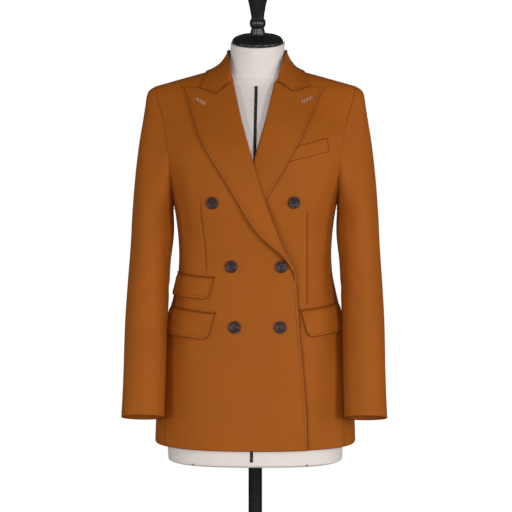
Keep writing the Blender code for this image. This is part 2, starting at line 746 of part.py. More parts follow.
def turned(name, profile, sides, finish, collection):
    """Solid of revolution about its own Z, from a profile that runs from the top down."""
    mesh = bpy.data.meshes.new(name)
    mesh.from_pydata([(radius, 0.0, height) for radius, height in profile],
                     [(i, i + 1) for i in range(len(profile) - 1)], [])
    piece = add_object(name, mesh, finish, collection)
    screw = piece.modifiers.new("Turn", "SCREW")
    screw.steps = sides
    screw.render_steps = sides
    screw.use_merge_vertices = True
    screw.merge_threshold = 0.00005
    return piece


def button_profile():
    """Rimmed button, from the middle of its face over the rim to the middle of its back."""
    radius, thick = BUTTON_DIAMETER / 2, BUTTON_THICKNESS
    return ((0.0, thick * 0.70), (radius * 0.66, thick * 0.70), (radius * 0.76, thick * 0.94),
            (radius * 0.88, thick), (radius, thick * 0.66), (radius * 0.94, thick * 0.22),
            (radius * 0.70, 0.0), (0.0, 0.0))


def button_cutter(cutters):
    """The four sewing holes, joined into one cutter."""
    bm = bmesh.new()
    for turn in range(4):
        spot = Matrix.Rotation(pi / 4 + turn * pi / 2, 4, "Z") @ Vector((0.0027, 0.0, 0.0))
        bmesh.ops.create_cone(bm, cap_ends=True, segments=6, radius1=0.0010, radius2=0.0010,
                              depth=0.012, matrix=Matrix.Translation(spot))
    mesh = bpy.data.meshes.new("button_holes")
    bm.to_mesh(mesh)
    bm.free()
    cutter = bpy.data.objects.new("button_holes", mesh)
    cutter.hide_render = True
    cutter.display_type = "WIRE"
    cutters.objects.link(cutter)
    return cutter


def button(name, x, height, over, cutters, collection):
    """Button on a front, square to the cloth under it."""
    spot = on_front(x, height, CONTACT_GAP + 0.0004, over)
    outward = (on_front(x, height, 0.01, over) - spot).normalized()
    turn = outward.to_track_quat("Z", "X").to_matrix().to_4x4()
    piece = turned(name, button_profile(), 16, "button", collection)
    holes = button_cutter(cutters)
    for thing in (piece, holes):
        thing.matrix_world = Matrix.Translation(spot) @ turn
    cut = piece.modifiers.new("Sewing holes", "BOOLEAN")
    cut.operation = "DIFFERENCE"
    cut.object = holes
    return piece


# Dress form

def form_value(name, place):
    return column(FORM, FORM_COLUMNS, name, place)


def neck_offset(level):
    """The neck leans a little to one side."""
    return NECK_X * ease((level - NECK_X_FROM) / NECK_X_RUN)


def form_point(angle, place):
    across, along = superellipse(angle, form_value("square", place))
    depth = form_value("front", place) if along > 0 else form_value("back", place)
    level = form_value("level", place)
    y = -depth * along
    x = form_value("half", place) * across + neck_offset(level)
    return Vector((x, y + form_value("shift", place), level + form_value("lean", place) * y))


def form_torso(collection):
    """The padded form: one closed body from its bottom edge to the cut of its neck."""
    rows = len(FORM) - 1

    def point(across, up):
        return form_point(2 * pi * across / FORM_SIDES, up)

    mesh = grid_mesh("form_torso", FORM_SIDES, rows, point, closed=True)
    bm = bmesh.new()
    bm.from_mesh(mesh)
    rims = [edge for edge in bm.edges if edge.is_boundary]
    bmesh.ops.holes_fill(bm, edges=rims, sides=0)
    bmesh.ops.recalc_face_normals(bm, faces=bm.faces)
    bm.to_mesh(mesh)
    bm.free()
    return add_object("form_torso", mesh, "linen", collection)


def form_tape(collection):
    """Centre front tape, on the form from its neck seam to its bottom edge."""
    rows = 24
    levels = [row[0] for row in FORM]

    def point(across, up):
        level = TAPE_LOW + (TAPE_TOP - TAPE_LOW) * up / rows
        start = max(i for i in range(len(levels) - 1) if levels[i] <= level)
        place = start + (level - levels[start]) / (levels[start + 1] - levels[start])
        share = up / rows
        middle = TAPE_LOW_X + (TAPE_HIGH_X - TAPE_LOW_X) * share
        x = middle + TAPE_WIDTH * (across / 2 - 0.5)
        angle = x / form_value("half", place)
        step = 0.01
        spot = form_point(angle, place)
        along = form_point(angle + step, place) - form_point(angle - step, place)
        up_way = form_point(angle, place + step) - form_point(angle, place - step)
        lift = TAPE_THICKNESS + CONTACT_GAP * 3
        return Vector((x, spot.y, spot.z)) + along.cross(up_way).normalized() * lift

    return cloth("form_tape", 2, rows, point, collection, thickness=TAPE_THICKNESS, finish="tape")


def neck_frame():
    """Frame on the tilted cut of the neck, just above the form."""
    top = FORM[-1]
    tilt = top[FORM_COLUMNS.index("lean")]
    centre = Vector((NECK_X, top[FORM_COLUMNS.index("shift")], top[FORM_COLUMNS.index("level")]))
    turn = Matrix.Rotation(atan(tilt), 4, "X")
    return Matrix.Translation(centre + Vector((0.0, 0.0, CONTACT_GAP))) @ turn


def form_cap(collection):
    """Lacquered neck cap: a rounded rim and a low dome."""
    radius = CAP_RADIUS
    profile = [(0.0, 0.0165), (0.012, 0.0163)]
    profile += [(radius * sin(radians(a)) * 0.96, 0.006 + 0.0105 * cos(radians(a)))
                for a in (30, 50, 68, 82)]
    profile += [(radius, 0.0050), (radius, 0.0022), (radius * 0.985, 0.0), (0.0, 0.0)]
    piece = turned("form_cap", profile, 28, "lacquer", collection)
    piece.matrix_world = neck_frame()
    return piece


def form_finial(collection):
    """Turned finial: a bead, a waist and a flared top with a rounded end."""
    base = 0.0165 + CONTACT_GAP
    profile = [(0.0, 0.112), (0.012, 0.1105), (0.0195, 0.105), (0.0225, 0.096), (0.0222, 0.086),
               (0.0195, 0.070), (0.0155, 0.052), (0.0128, 0.036), (0.0122, 0.028)]
    bead = [(0.0122 + 0.0030 * sin(radians(a)), 0.0205 + 0.0075 * cos(radians(a)))
            for a in range(30, 180, 30)]
    profile += bead + [(0.0122, 0.0120), (0.0140, 0.0030), (0.0140, 0.0), (0.0, 0.0)]
    lifted = [(r, h + base) for r, h in profile]
    piece = turned("form_finial", lifted, 18, "lacquer", collection)
    piece.matrix_world = neck_frame()
    return piece


def stand_pieces(collection):
    """Pole under the form and the round base that carries it."""
    top = FORM[0][0] - CONTACT_GAP
    low = BASE_THICKNESS + CONTACT_GAP
    profile = [(0.0, top), (POLE_RADIUS, top), (POLE_RADIUS, low), (0.0, low)]
    turned("form_pole", profile, 24, "black_steel", collection)
    boss = POLE_RADIUS + CONTACT_GAP
    profile = [(0.0, BASE_THICKNESS), (boss, BASE_THICKNESS), (boss, 0.034), (0.024, 0.034),
               (0.027, 0.030), (0.029, 0.016), (0.050, 0.012),
               (BASE_RADIUS - 0.006, BASE_THICKNESS - 0.002), (BASE_RADIUS - 0.001, 0.008),
               (BASE_RADIUS, 0.005), (BASE_RADIUS, 0.0), (0.0, 0.0)]
    turned("form_base", profile, 40, "black_steel", collection)


def build():
    clear_scene()
    blazer = make_collection("blazer_on_dress_form")
    cutters = make_collection("cutters")
    for side, hand in ((-1, "right"), (1, "left")):
        front("front_" + hand, side, blazer)
        side_body("side_" + hand, side, blazer)
        back("back_" + hand, side, blazer)
        lapel("lapel_" + hand, side, blazer)
        sleeve("sleeve_under_" + hand, side, FRONT_SLEEVE_SEAM, BACK_SLEEVE_SEAM, blazer)
        sleeve("sleeve_top_" + hand, side, BACK_SLEEVE_SEAM, RING + FRONT_SLEEVE_SEAM, blazer)
    collar(blazer)
    breast_welt(blazer)
    for name, side, pocket in (("pocket_{}_right", -1, MAIN_POCKET_RIGHT),
                               ("pocket_{}_left", 1, MAIN_POCKET_LEFT),
                               ("ticket_{}", -1, TICKET_POCKET)):
        pocket_flap(name.format("flap"), side, pocket, side < 0, blazer)
        pocket_jet(name.format("jet"), side, pocket, side < 0, blazer)
    for row, height, right_x, left_x in BUTTON_ROWS:
        button("button_" + row + "_right", right_x, height, True, cutters, blazer)
        button("button_" + row + "_left", left_x, height, row != "1", cutters, blazer)
    form_torso(blazer)
    form_tape(blazer)
    form_cap(blazer)
    form_finial(blazer)
    stand_pieces(blazer)


build()
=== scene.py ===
"""Looks of a double breasted blazer on its dress form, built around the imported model.

Metres, +Z up, the front faces -Y and +X is the wearer's left. Each cloth piece is a fine sheet on
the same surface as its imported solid, with a rounded edge, soft folds, and a wall of its own.
"""

from math import atan, cos, pi, radians, sin

import bpy
import numpy as np
from mathutils import Matrix, Vector


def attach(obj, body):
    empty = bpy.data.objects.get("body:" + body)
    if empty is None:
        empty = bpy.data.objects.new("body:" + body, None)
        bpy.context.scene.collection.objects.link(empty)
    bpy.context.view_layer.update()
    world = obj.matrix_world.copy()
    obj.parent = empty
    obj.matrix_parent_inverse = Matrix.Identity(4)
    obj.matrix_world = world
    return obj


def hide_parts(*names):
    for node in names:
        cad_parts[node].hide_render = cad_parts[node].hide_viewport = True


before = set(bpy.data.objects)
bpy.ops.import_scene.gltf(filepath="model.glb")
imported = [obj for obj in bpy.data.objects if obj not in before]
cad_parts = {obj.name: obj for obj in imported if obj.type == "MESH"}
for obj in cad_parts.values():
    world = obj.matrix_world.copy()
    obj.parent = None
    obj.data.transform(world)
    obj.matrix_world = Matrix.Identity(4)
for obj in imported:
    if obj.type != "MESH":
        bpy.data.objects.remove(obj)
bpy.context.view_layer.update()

# ---------------------------------------------------------------- sizes of the blazer and its form

CLOTH = 0.0016
SHOULDER_RIDGE = 0.03
CENTRE_X = -0.0015
SIDE_SEAM_AT_HEM = radians(56.0)
BACK_SEAM_AT_HEM = radians(121.0)
HEM_LEVEL = 0.741
HEM_DIP = 0.0085
ARMHOLE_DROP = 0.036
NECK_HALF_WIDTH = 0.0635
OVER_LIFT_UPPER = 0.0056
OVER_LIFT_LOWER = 0.0036
SLEEVE_GAP = -0.0015
BUTTON_DIAMETER = 0.0232
BUTTON_THICKNESS = 0.0036
CONTACT_GAP = 0.0003
HOLE_REACH = 0.0026
HOLE_RADIUS = 0.00095
BUTTON_SEAT = 0.0004

# Walls of the smaller cloth pieces.
FLAP_WALL = 0.0018
JET_WALL = 0.0010
WELT_WALL = 0.0015

# The lapel's soft round roll and its slight belly, and the collar across its leaf.
ROLL_RADIUS = 0.0042
LAPEL_BELLY = 0.0012
COLLAR_LEAF = (0.14, 0.36, 0.53, 0.68, 0.84, 1.0)
COLLAR_STAND_INSET = 0.0010
COLLAR_GORGE_LIFT = 0.0056

# How deep an edge is turned under, by kind.
TURNED_EDGE = 0.0010
GORGE_EDGE = 0.0009
JET_END, JET_SIDE = 0.0006, 0.0007

STATION_COLUMNS = ("level", "half", "front", "back", "shift", "square", "slope", "arm")
STATIONS = (
    (0.725, 0.1915, 0.1190, 0.1230, 0.000, 2.50, 0.000, 0.1580),
    (0.775, 0.1888, 0.1190, 0.1235, 0.000, 2.50, 0.000, 0.1580),
    (0.825, 0.1852, 0.1182, 0.1230, 0.000, 2.50, 0.000, 0.1580),
    (0.875, 0.1803, 0.1160, 0.1180, 0.000, 2.50, 0.000, 0.1580),
    (0.925, 0.1735, 0.1122, 0.1095, 0.000, 2.45, 0.000, 0.1580),
    (0.975, 0.1648, 0.1075, 0.0960, 0.000, 2.45, 0.000, 0.1580),
    (1.020, 0.1542, 0.1035, 0.0845, 0.000, 2.40, 0.000, 0.1580),
    (1.060, 0.1464, 0.1010, 0.0785, 0.000, 2.40, 0.000, 0.1580),
    (1.100, 0.1450, 0.1025, 0.0775, 0.000, 2.40, 0.000, 0.1580),
    (1.145, 0.1480, 0.1080, 0.0830, 0.000, 2.35, 0.000, 0.1580),
    (1.190, 0.1550, 0.1160, 0.0915, 0.000, 2.35, 0.000, 0.1580),
    (1.232, 0.1670, 0.1172, 0.0990, 0.000, 2.35, 0.000, 0.1580),
    (1.275, 0.1810, 0.1115, 0.1030, 0.001, 2.35, 0.020, 0.1612),
    (1.316, 0.1905, 0.1005, 0.1030, 0.003, 2.35, 0.100, 0.1647),
    (1.354, 0.1962, 0.0860, 0.0980, 0.005, 2.35, 0.190, 0.1695),
    (1.388, 0.2000, 0.0690, 0.0900, 0.007, 2.35, 0.260, 0.1743),
    (1.417, 0.2030, 0.0515, 0.0790, 0.008, 2.35, 0.285, 0.1810),
    (1.441, 0.2050, 0.0340, 0.0650, 0.009, 2.35, 0.285, 0.1870),
    (1.4552, 0.2060, 0.0165, 0.0430, 0.010, 2.35, 0.285, 0.1912),
    (1.4590, 0.2062, 0.0010, 0.0010, 0.010, 2.35, 0.285, 0.1928),
)
ARM_STATION = 11
BACK_NECK_STATION = 17.5
SHOULDER_STATION = 19

# Reach of the overlapping front's edge from the centre line: the front edge below the break of the
# lapel, the roll line above it.
EDGE_HEIGHTS = (0.700, 0.798, 0.871, 0.941, 1.002, 1.043, 1.058, 1.072, 1.086, 1.099, 1.113,
                1.145, 1.195, 1.222, 1.273, 1.347, 1.396, 1.417, 1.431, 1.4405, 1.4444)
EDGE_REACHES = (0.1015, 0.0991, 0.0936, 0.0868, 0.0828, 0.0790, 0.0778, 0.0754, 0.0694, 0.0609,
                0.0534, 0.0419, 0.0232, 0.0138, -0.0015, -0.0222, -0.0335, -0.0386, -0.0450,
                -0.0565, -0.0635)
BREAK_HEIGHT = 1.060
ROLL_SETBACK = 0.002

LAPEL_COLUMNS = ("roll_height", "edge_x", "edge_height", "edge_lift", "roll_lift")
LAPEL_OVER = (
    (1.0440, 0.0740, 1.0436, -0.0006, -0.0002),
    (1.0560, 0.0722, 1.0555, 0.0020, 0.0022),
    (1.0680, 0.0688, 1.0660, 0.0044, 0.0044),
    (1.0780, 0.0640, 1.0742, 0.0066, 0.0056),
    (1.0890, 0.0596, 1.0818, 0.0092, 0.0064),
    (1.1010, 0.0541, 1.0902, 0.0116, 0.0074),
    (1.1200, 0.0452, 1.1010, 0.0130, 0.0080),
    (1.1430, 0.0280, 1.1166, 0.0126, 0.0078),
    (1.1700, -0.0010, 1.1488, 0.0106, 0.0072),
    (1.2170, -0.0341, 1.2036, 0.0076, 0.0062),
    (1.2620, -0.0609, 1.2465, 0.0062, 0.0056),
    (1.3125, -0.0881, 1.2890, 0.0058, 0.0051),
    (1.3640, -0.1098, 1.3370, 0.0056, 0.0047),
    (1.3980, -0.1225, 1.3785, 0.0052, 0.0043),
    (1.4172, -0.1332, 1.4108, 0.0048, 0.0040),
)
LAPEL_UNDER = (
    (1.0680, -0.0705, 1.0672, 0.0022, 0.0026),
    (1.0780, -0.0662, 1.0748, 0.0024, 0.0028),
    (1.0890, -0.0612, 1.0828, 0.0024, 0.0030),
    (1.1010, -0.0560, 1.0912, 0.0024, 0.0030),
    (1.1200, -0.0465, 1.1000, 0.0024, 0.0030),
    (1.1430, -0.0285, 1.1150, 0.0024, 0.0030),
    (1.1700, -0.0060, 1.1450, 0.0024, 0.0030),
    (1.2100, 0.0222, 1.1958, 0.0026, 0.0030),
    (1.2500, 0.0430, 1.2326, 0.0054, 0.0034),
    (1.3165, 0.0788, 1.2950, 0.0062, 0.0050),
    (1.3640, 0.1003, 1.3405, 0.0056, 0.0048),
    (1.3980, 0.1165, 1.3800, 0.0050, 0.0044),
    (1.4172, 0.1297, 1.4096, 0.0046, 0.0040),
)
# The notch of each gorge and the lapel's corner at it, for the wearer's right and left.
GORGE_MID = {-1: (0.0724, 1.3958), 1: (0.0698, 1.4004)}
GORGE_CORNER = {-1: (0.1026, 1.4064), 1: (0.1004, 1.4084)}
GORGE_ROLL_DROP = {-1: -0.0030, 1: -0.0042}
GORGE_GAP = 0.0014

COLLAR_COLUMNS = ("seam_x", "seam_y", "seam_z", "fold_x", "fold_y", "fold_z", "leaf_x", "leaf_station",
                  "sag")
COLLAR = (
    (0.0455, -0.0340, 1.4225, 0.0415, -0.0385, 1.4190, 0.1020, 16.55, 0.000),
    (0.0530, -0.0215, 1.4400, 0.0500, -0.0225, 1.4545, 0.0968, 17.60, 0.014),
    (0.0590, 0.0000, 1.4500, 0.0545, -0.0020, 1.4730, 0.0935, 18.70, 0.026),
    (0.0625, 0.0160, 1.4520, 0.0562, 0.0150, 1.4795, 0.0920, 19.45, 0.024),
    (0.0600, 0.0400, 1.4510, 0.0530, 0.0370, 1.4810, 0.0850, 20.20, 0.014),
    (0.0400, 0.0625, 1.4500, 0.0360, 0.0575, 1.4800, 0.0550, 20.90, 0.004),
    (0.0000, 0.0710, 1.4490, 0.0000, 0.0680, 1.4800, 0.0000, 21.10, 0.002),
)

# Rings of a sleeve from below its cap to the cuff: height, middle x and y, half width, half depth.
SLEEVE = (
    (1.1750, 0.1938, -0.0060, 0.0390, 0.0620),
    (1.1300, 0.1940, -0.0110, 0.0405, 0.0600),
    (1.0800, 0.1980, -0.0205, 0.0392, 0.0570),
    (1.0300, 0.2012, -0.0340, 0.0398, 0.0535),
    (0.9800, 0.2035, -0.0495, 0.0400, 0.0495),
    (0.9300, 0.2045, -0.0650, 0.0400, 0.0455),
    (0.8800, 0.2052, -0.0780, 0.0398, 0.0420),
    (0.8300, 0.2065, -0.0880, 0.0400, 0.0392),
    (0.7925, 0.2078, -0.0940, 0.0405, 0.0375),
)
CUFF_TILT = 0.009
SLEEVE_CAP = ((0.00, 0.0000), (0.03, 0.0098), (0.08, 0.0125), (0.16, 0.0118), (0.30, 0.0112),
              (0.45, 0.0108), (0.62, 0.0086), (0.82, 0.0048))
RING = 20
FRONT_SLEEVE_SEAM = 8
BACK_SLEEVE_SEAM = 14

POCKET_COLUMNS = ("inner_x", "inner_height", "outer_angle", "outer_height", "depth")
MAIN_POCKET_RIGHT = (-0.0725, 0.9850, radians(-76.0), 0.9965, 0.0470)
MAIN_POCKET_LEFT = (0.0865, 0.9900, radians(76.0), 1.0030, 0.0470)
TICKET_POCKET = (-0.0733, 1.0515, radians(-74.0), 1.0575, 0.0390)
FLAP_ROUND = 0.011
FLAP_OUTER_ROUND = 0.012
FLAP_OUTER_SHARE = 0.7
# How far a flap stands off the front at its top, and how much more past the step of its jets and
# at its lower edge, with a slight wave along it.
FLAP_HANG, FLAP_STEP, FLAP_SWING, FLAP_WAVE = 0.0026, 0.0016, 0.0022, 0.0004
FLAP_STEP_REACH = 0.008
FLAP_SLANT = 1.1
FLAP_LENGTH = 0.135
JET_DEPTH = 0.0052
JET_OVERRUN = 0.012
JET_DROP, JET_LIFT, JET_ROLL = 0.0004, 0.0008, 0.0018
# The painted shade line between a jet's two lips: its place across them, its width and its strength.
JET_LINE, JET_LINE_WIDTH, JET_LINE_SHADE = 0.42, 0.0006, 0.9
# Painted shade at a jet's ends and foot.
JET_END_SHADE, JET_FOOT_SHADE = 0.6, 0.3

# Corners of the breast welt's lower and upper edge, from and to as (x, height), and its lift.
WELT_LOW = ((0.0600, 1.2680), (0.1387, 1.2878))
WELT_HIGH = ((0.0710, 1.2955), (0.1359, 1.3139))
WELT_LIFT = 0.0017
WELT_END, WELT_FOOT, WELT_TOP = 0.0008, 0.0012, 0.0005

BUTTON_ROWS = (
    ("1", 1.1945, -0.0750, 0.0738),
    ("2", 1.0755, -0.0414, 0.0496),
    ("3", 0.9625, -0.0355, 0.0482),
)

FORM_COLUMNS = ("level", "half", "front", "back", "shift", "square", "lean")
FORM = (
    (0.7005, 0.1560, 0.1060, 0.1050, 0.000, 2.60, 0.000),
    (0.7035, 0.1630, 0.1130, 0.1110, 0.000, 2.60, 0.000),
    (0.7120, 0.1662, 0.1155, 0.1135, 0.000, 2.60, 0.000),
    (0.7700, 0.1675, 0.1145, 0.1145, 0.000, 2.50, 0.000),
    (0.8250, 0.1655, 0.1125, 0.1130, 0.000, 2.45, 0.000),
    (0.8750, 0.1610, 0.1095, 0.1070, 0.000, 2.40, 0.000),
    (0.9250, 0.1545, 0.1050, 0.0985, 0.000, 2.35, 0.000),
    (0.9750, 0.1460, 0.0995, 0.0860, 0.000, 2.30, 0.000),
    (1.0200, 0.1370, 0.0950, 0.0750, 0.000, 2.30, 0.000),
    (1.0600, 0.1310, 0.0925, 0.0690, 0.000, 2.30, 0.000),
    (1.1000, 0.1300, 0.0935, 0.0680, 0.000, 2.30, 0.000),
    (1.1450, 0.1335, 0.0990, 0.0735, 0.000, 2.30, 0.000),
    (1.1900, 0.1395, 0.1065, 0.0820, 0.000, 2.25, 0.000),
    (1.2320, 0.1450, 0.1080, 0.0890, 0.000, 2.20, 0.000),
    (1.2750, 0.1490, 0.1015, 0.0925, 0.001, 2.15, 0.000),
    (1.3160, 0.1520, 0.0900, 0.0920, 0.003, 2.10, 0.000),
    (1.3500, 0.1560, 0.0765, 0.0860, 0.005, 2.00, 0.000),
    (1.3750, 0.1570, 0.0650, 0.0770, 0.007, 1.85, 0.000),
    (1.3950, 0.1500, 0.0550, 0.0680, 0.008, 1.65, 0.010),
    (1.4120, 0.1270, 0.0490, 0.0590, 0.009, 1.45, 0.030),
    (1.4240, 0.0960, 0.0475, 0.0540, 0.010, 1.45, 0.060),
    (1.4340, 0.0700, 0.0475, 0.0510, 0.011, 1.65, 0.100),
    (1.4440, 0.0560, 0.0485, 0.0500, 0.012, 1.90, 0.150),
    (1.4580, 0.0522, 0.0495, 0.0500, 0.013, 2.00, 0.200),
    (1.4760, 0.0515, 0.0500, 0.0500, 0.014, 2.00, 0.240),
    (1.4950, 0.0512, 0.0500, 0.0500, 0.014, 2.00, 0.268),
)
NECK_X = 0.0055
NECK_X_FROM = 1.42
NECK_X_RUN = 0.10
NECK_SEAM_LEVEL = 1.4290
TAPE_WIDTH = 0.0056
TAPE_THICKNESS = 0.0006
TAPE_LOW, TAPE_TOP = 0.712, 1.412
TAPE_LOW_X, TAPE_HIGH_X = -0.0045, 0.0026
CAP_RADIUS = 0.0487
POLE_RADIUS = 0.013
BASE_RADIUS = 0.175
BASE_THICKNESS = 0.012

# ---------------------------------------------------------------- soft shape, stitching, folds

EDGE_ROUND = 0.0018
# Painted shade: how much the colour is darkened at turned edges, seams, darts, cuffs and the armhole,
# standing in for the shadow in those lines, and how wide that darkening is.
EDGE_SHADE, EDGE_SHADE_WIDTH, DART_SHADE = 0.95, 0.0012, 0.42
SEAM_SHADE, GORGE_SHADE, SLEEVE_SEAM_SHADE = 0.6, 0.55, 0.12
CUFF_SHADE, ARMHOLE_SHADE = 0.7, 0.8
# Painted shadow of the lapped front's edge on the under front: its strength and width.
LAP_SHADE, LAP_SHADE_WIDTH = 0.55, 0.0034
# The share of the wool's colour left where the painted shade is full.
PAINTED_SHADE_TONE = (0.30, 0.22, 0.25)
SEAM_DIP = 0.0017
HEM_DROP = 0.0010
PICK_INSET = 0.0062
PICK_PITCH = 0.0050
PICK_DEPTH = 0.00030
PICK_WIDTH = 0.0011
DART_DEPTH = 0.0020
DART_WIDTH = 0.0013
FINE_EDGE = (0.0, 0.0003, 0.0007, 0.0013, 0.0024, 0.0038)
PICKED_EDGE = FINE_EDGE + (0.0046, 0.0052, 0.0057, 0.0062, 0.0067, 0.0073, 0.0082)
FINE_DART = (0.0, 0.0006, 0.0013, 0.0022, 0.0034)

# Darts of the fronts, as x at rising heights, and the share of each that shows.
DART_RIGHT = ((1.0675, 1.1195, 1.1640, 1.2030), (-0.0869, -0.0903, -0.0954, -0.0984))
DART_LEFT = ((1.0030, 1.0900, 1.1500, 1.1860), (0.0990, 0.0990, 0.0989, 0.0988))

# Soft folds: from and to as (x, height), the half width, and how far the crest stands out. A
# negative rise is a trough.
FOLDS_FRONT_RIGHT = (
    ((-0.1500, 1.2500), (-0.1220, 1.1150), 0.0130, -0.0013),
    ((-0.1290, 1.2700), (-0.1010, 1.1300), 0.0150, 0.0009),
    ((-0.1420, 1.1050), (-0.0620, 1.0800), 0.0100, -0.0007),
    ((-0.1380, 1.0700), (-0.0550, 1.0550), 0.0110, 0.0005),
    ((-0.1180, 1.0000), (-0.0420, 1.0380), 0.0120, -0.0005),
    ((0.0150, 1.0250), (0.0430, 1.0680), 0.0110, -0.0005),
    ((-0.0250, 1.0150), (0.0300, 0.9800), 0.0140, 0.0004),
    ((-0.1450, 0.9000), (-0.1560, 0.7500), 0.0200, 0.0015),
    ((-0.1120, 0.9150), (-0.1200, 0.7550), 0.0200, -0.0010),
    ((-0.0500, 0.9000), (-0.0520, 0.7450), 0.0280, 0.0008),
    ((0.0150, 0.9100), (0.0180, 0.7450), 0.0260, -0.0006),
    ((0.0700, 0.9000), (0.0800, 0.7450), 0.0200, 0.0006),
    ((-0.1550, 1.3600), (-0.1250, 1.3050), 0.0150, -0.0012),
)
FOLDS_FRONT_LEFT = (
    ((0.1520, 1.2500), (0.1240, 1.1200), 0.0130, -0.0013),
    ((0.1300, 1.2600), (0.1080, 1.1350), 0.0150, 0.0008),
    ((0.1420, 1.0950), (0.0980, 1.0760), 0.0100, -0.0007),
    ((0.1400, 1.0600), (0.1000, 1.0500), 0.0110, 0.0005),
    ((0.1250, 0.9250), (0.1330, 0.7500), 0.0200, -0.0012),
    ((0.1540, 0.9100), (0.1640, 0.7500), 0.0180, 0.0012),
    ((0.1050, 0.9200), (0.1100, 0.7500), 0.0170, 0.0007),
    ((0.1550, 1.3600), (0.1250, 1.3100), 0.0150, -0.0012),
)
FOLDS_BACK = (
    ((0.0350, 1.3600), (0.0500, 1.2200), 0.0280, 0.0010),
    ((0.1500, 1.3300), (0.1150, 1.1600), 0.0160, -0.0016),
    ((0.1330, 1.3100), (0.0900, 1.1500), 0.0180, 0.0011),
    ((0.1350, 1.0900), (0.0350, 1.0700), 0.0110, -0.0010),
    ((0.1300, 1.0550), (0.0300, 1.0450), 0.0120, 0.0007),
    ((0.0700, 0.9300), (0.0850, 0.7500), 0.0240, 0.0012),
    ((0.1150, 0.9200), (0.1300, 0.7500), 0.0200, -0.0013),
    ((0.0300, 0.9000), (0.0330, 0.7500), 0.0200, -0.0009),
)
FOLDS_SIDE = (
    ((0.0200, 1.1900), (0.0000, 1.0800), 0.0120, -0.0010),
    ((0.0000, 0.9000), (0.0050, 0.7500), 0.0200, 0.0011),
)
# Folds of a sleeve: from and to as (ring place, height).
RING_PITCH = 0.0158
FOLDS_SLEEVE = (
    ((4.2, 1.3000), (6.2, 1.1500), 0.0150, -0.0015),
    ((2.2, 1.3100), (4.4, 1.1300), 0.0170, 0.0010),
    ((7.5, 1.1900), (4.6, 1.0850), 0.0120, -0.0012),
    ((7.4, 1.0850), (4.2, 1.0250), 0.0090, -0.0014),
    ((7.4, 1.0500), (3.8, 1.0000), 0.0100, 0.0009),
    ((7.0, 1.0180), (3.6, 0.9550), 0.0100, -0.0010),
    ((6.5, 0.9500), (4.5, 0.8300), 0.0160, 0.0009),
    ((3.4, 0.9800), (2.6, 0.8300), 0.0180, -0.0009),
    ((0.5, 1.1800), (0.6, 1.0400), 0.0200, 0.0008),
    ((16.0, 1.2800), (14.6, 1.1200), 0.0160, -0.0014),
    ((13.6, 1.1000), (16.5, 1.0200), 0.0120, 0.0010),
    ((13.4, 1.0300), (16.0, 0.9600), 0.0110, -0.0009),
    ((10.5, 1.1500), (11.5, 1.0200), 0.0150, -0.0012),
    ((9.0, 1.0400), (12.5, 1.0000), 0.0090, -0.0012),
)


# ---------------------------------------------------------------- reading the tables

def smooth_between(before, near, far, after, share):
    rise_near, rise_far = (far - before) / 2, (after - near) / 2
    return (near * (2 * share**3 - 3 * share**2 + 1) + rise_near * (share**3 - 2 * share**2 + share)
            + far * (3 * share**2 - 2 * share**3) + rise_far * (share**3 - share**2))


def along_values(values, place):
    """Values at places counted in rows, on a smooth curve through the rows."""
    values = np.asarray(values, float)
    place = np.asarray(place, float)
    last = len(values) - 1
    start = np.clip(np.floor(place).astype(int), 0, last - 1)
    share = np.clip(place - start, 0.0, 1.0)
    near, far = values[start], values[start + 1]
    if values.ndim > 1:
        share = share.reshape(share.shape + (1,) * (values.ndim - 1))
        first = (start == 0).reshape(share.shape)
        end = (start + 2 > last).reshape(share.shape)
    else:
        first, end = start == 0, start + 2 > last
    before = np.where(first, 2 * near - far, values[np.maximum(start - 1, 0)])
    after = np.where(end, 2 * far - near, values[np.minimum(start + 2, last)])
    return smooth_between(before, near, far, after, share)


def column(rows, names, name, place):
    index = names.index(name)
    return along_values([row[index] for row in rows], place)


def ease(value):
    value = np.clip(value, 0.0, 1.0)
    return value * value * (3 - 2 * value)


def neck_lean(level):
    """The form's neck leans a little to the wearer's left."""
    return NECK_X * ease((level - NECK_X_FROM) / NECK_X_RUN)


def unit(vectors):
    return vectors / np.maximum(np.linalg.norm(vectors, axis=-1, keepdims=True), 1e-12)


def points_of(x, y, z):
    return np.stack(np.broadcast_arrays(x, y, z), axis=-1)


# ---------------------------------------------------------------- the jacket's surface

def station(name, place):
    return column(STATIONS, STATION_COLUMNS, name, place)


def superellipse(angle, square):
    across, along = np.sin(angle), np.cos(angle)
    reach = (np.abs(across)**square + np.abs(along)**square) ** (-1 / square)
    return across * reach, along * reach


def shoulder_fall(x, place):
    return station("slope", place) * (np.sqrt(x * x + SHOULDER_RIDGE**2) - SHOULDER_RIDGE)


def jacket(angle, place):
    """Points on the jacket's outer surface. Angle 0 is the front's middle, 90 degrees is +X."""
    across, along = superellipse(angle, station("square", place))
    depth = np.where(along > 0, station("front", place), station("back", place))
    x = station("half", place) * across
    height = station("level", place) - shoulder_fall(x, place)
    return points_of(x, station("shift", place) - depth * along, height)


def jacket_lifted(angle, place, lift):
    step = 0.01
    low, high = np.maximum(place - step, 0.0), np.minimum(place + step, SHOULDER_STATION)
    along = jacket(angle + step, place) - jacket(angle - step, place)
    up = jacket(angle, high) - jacket(angle, low)
    return jacket(angle, place) + unit(np.cross(along, up)) * np.asarray(lift)[..., None]


def angle_at(x, place, back=False):
    square = station("square", place)
    share = np.minimum(np.abs(x / station("half", place)) ** square, 0.9999)
    angle = np.copysign(np.arctan((share / (1 - share)) ** (1 / square)), x)
    return np.copysign(pi, x) - angle if back else angle


def place_at(x, height):
    x, height = np.broadcast_arrays(np.asarray(x, float), np.asarray(height, float))
    low, high = np.zeros(x.shape), np.full(x.shape, float(SHOULDER_STATION))
    for _ in range(34):
        middle = (low + high) / 2
        below = station("level", middle) - shoulder_fall(x, middle) < height
        low, high = np.where(below, middle, low), np.where(below, high, middle)
    return (low + high) / 2


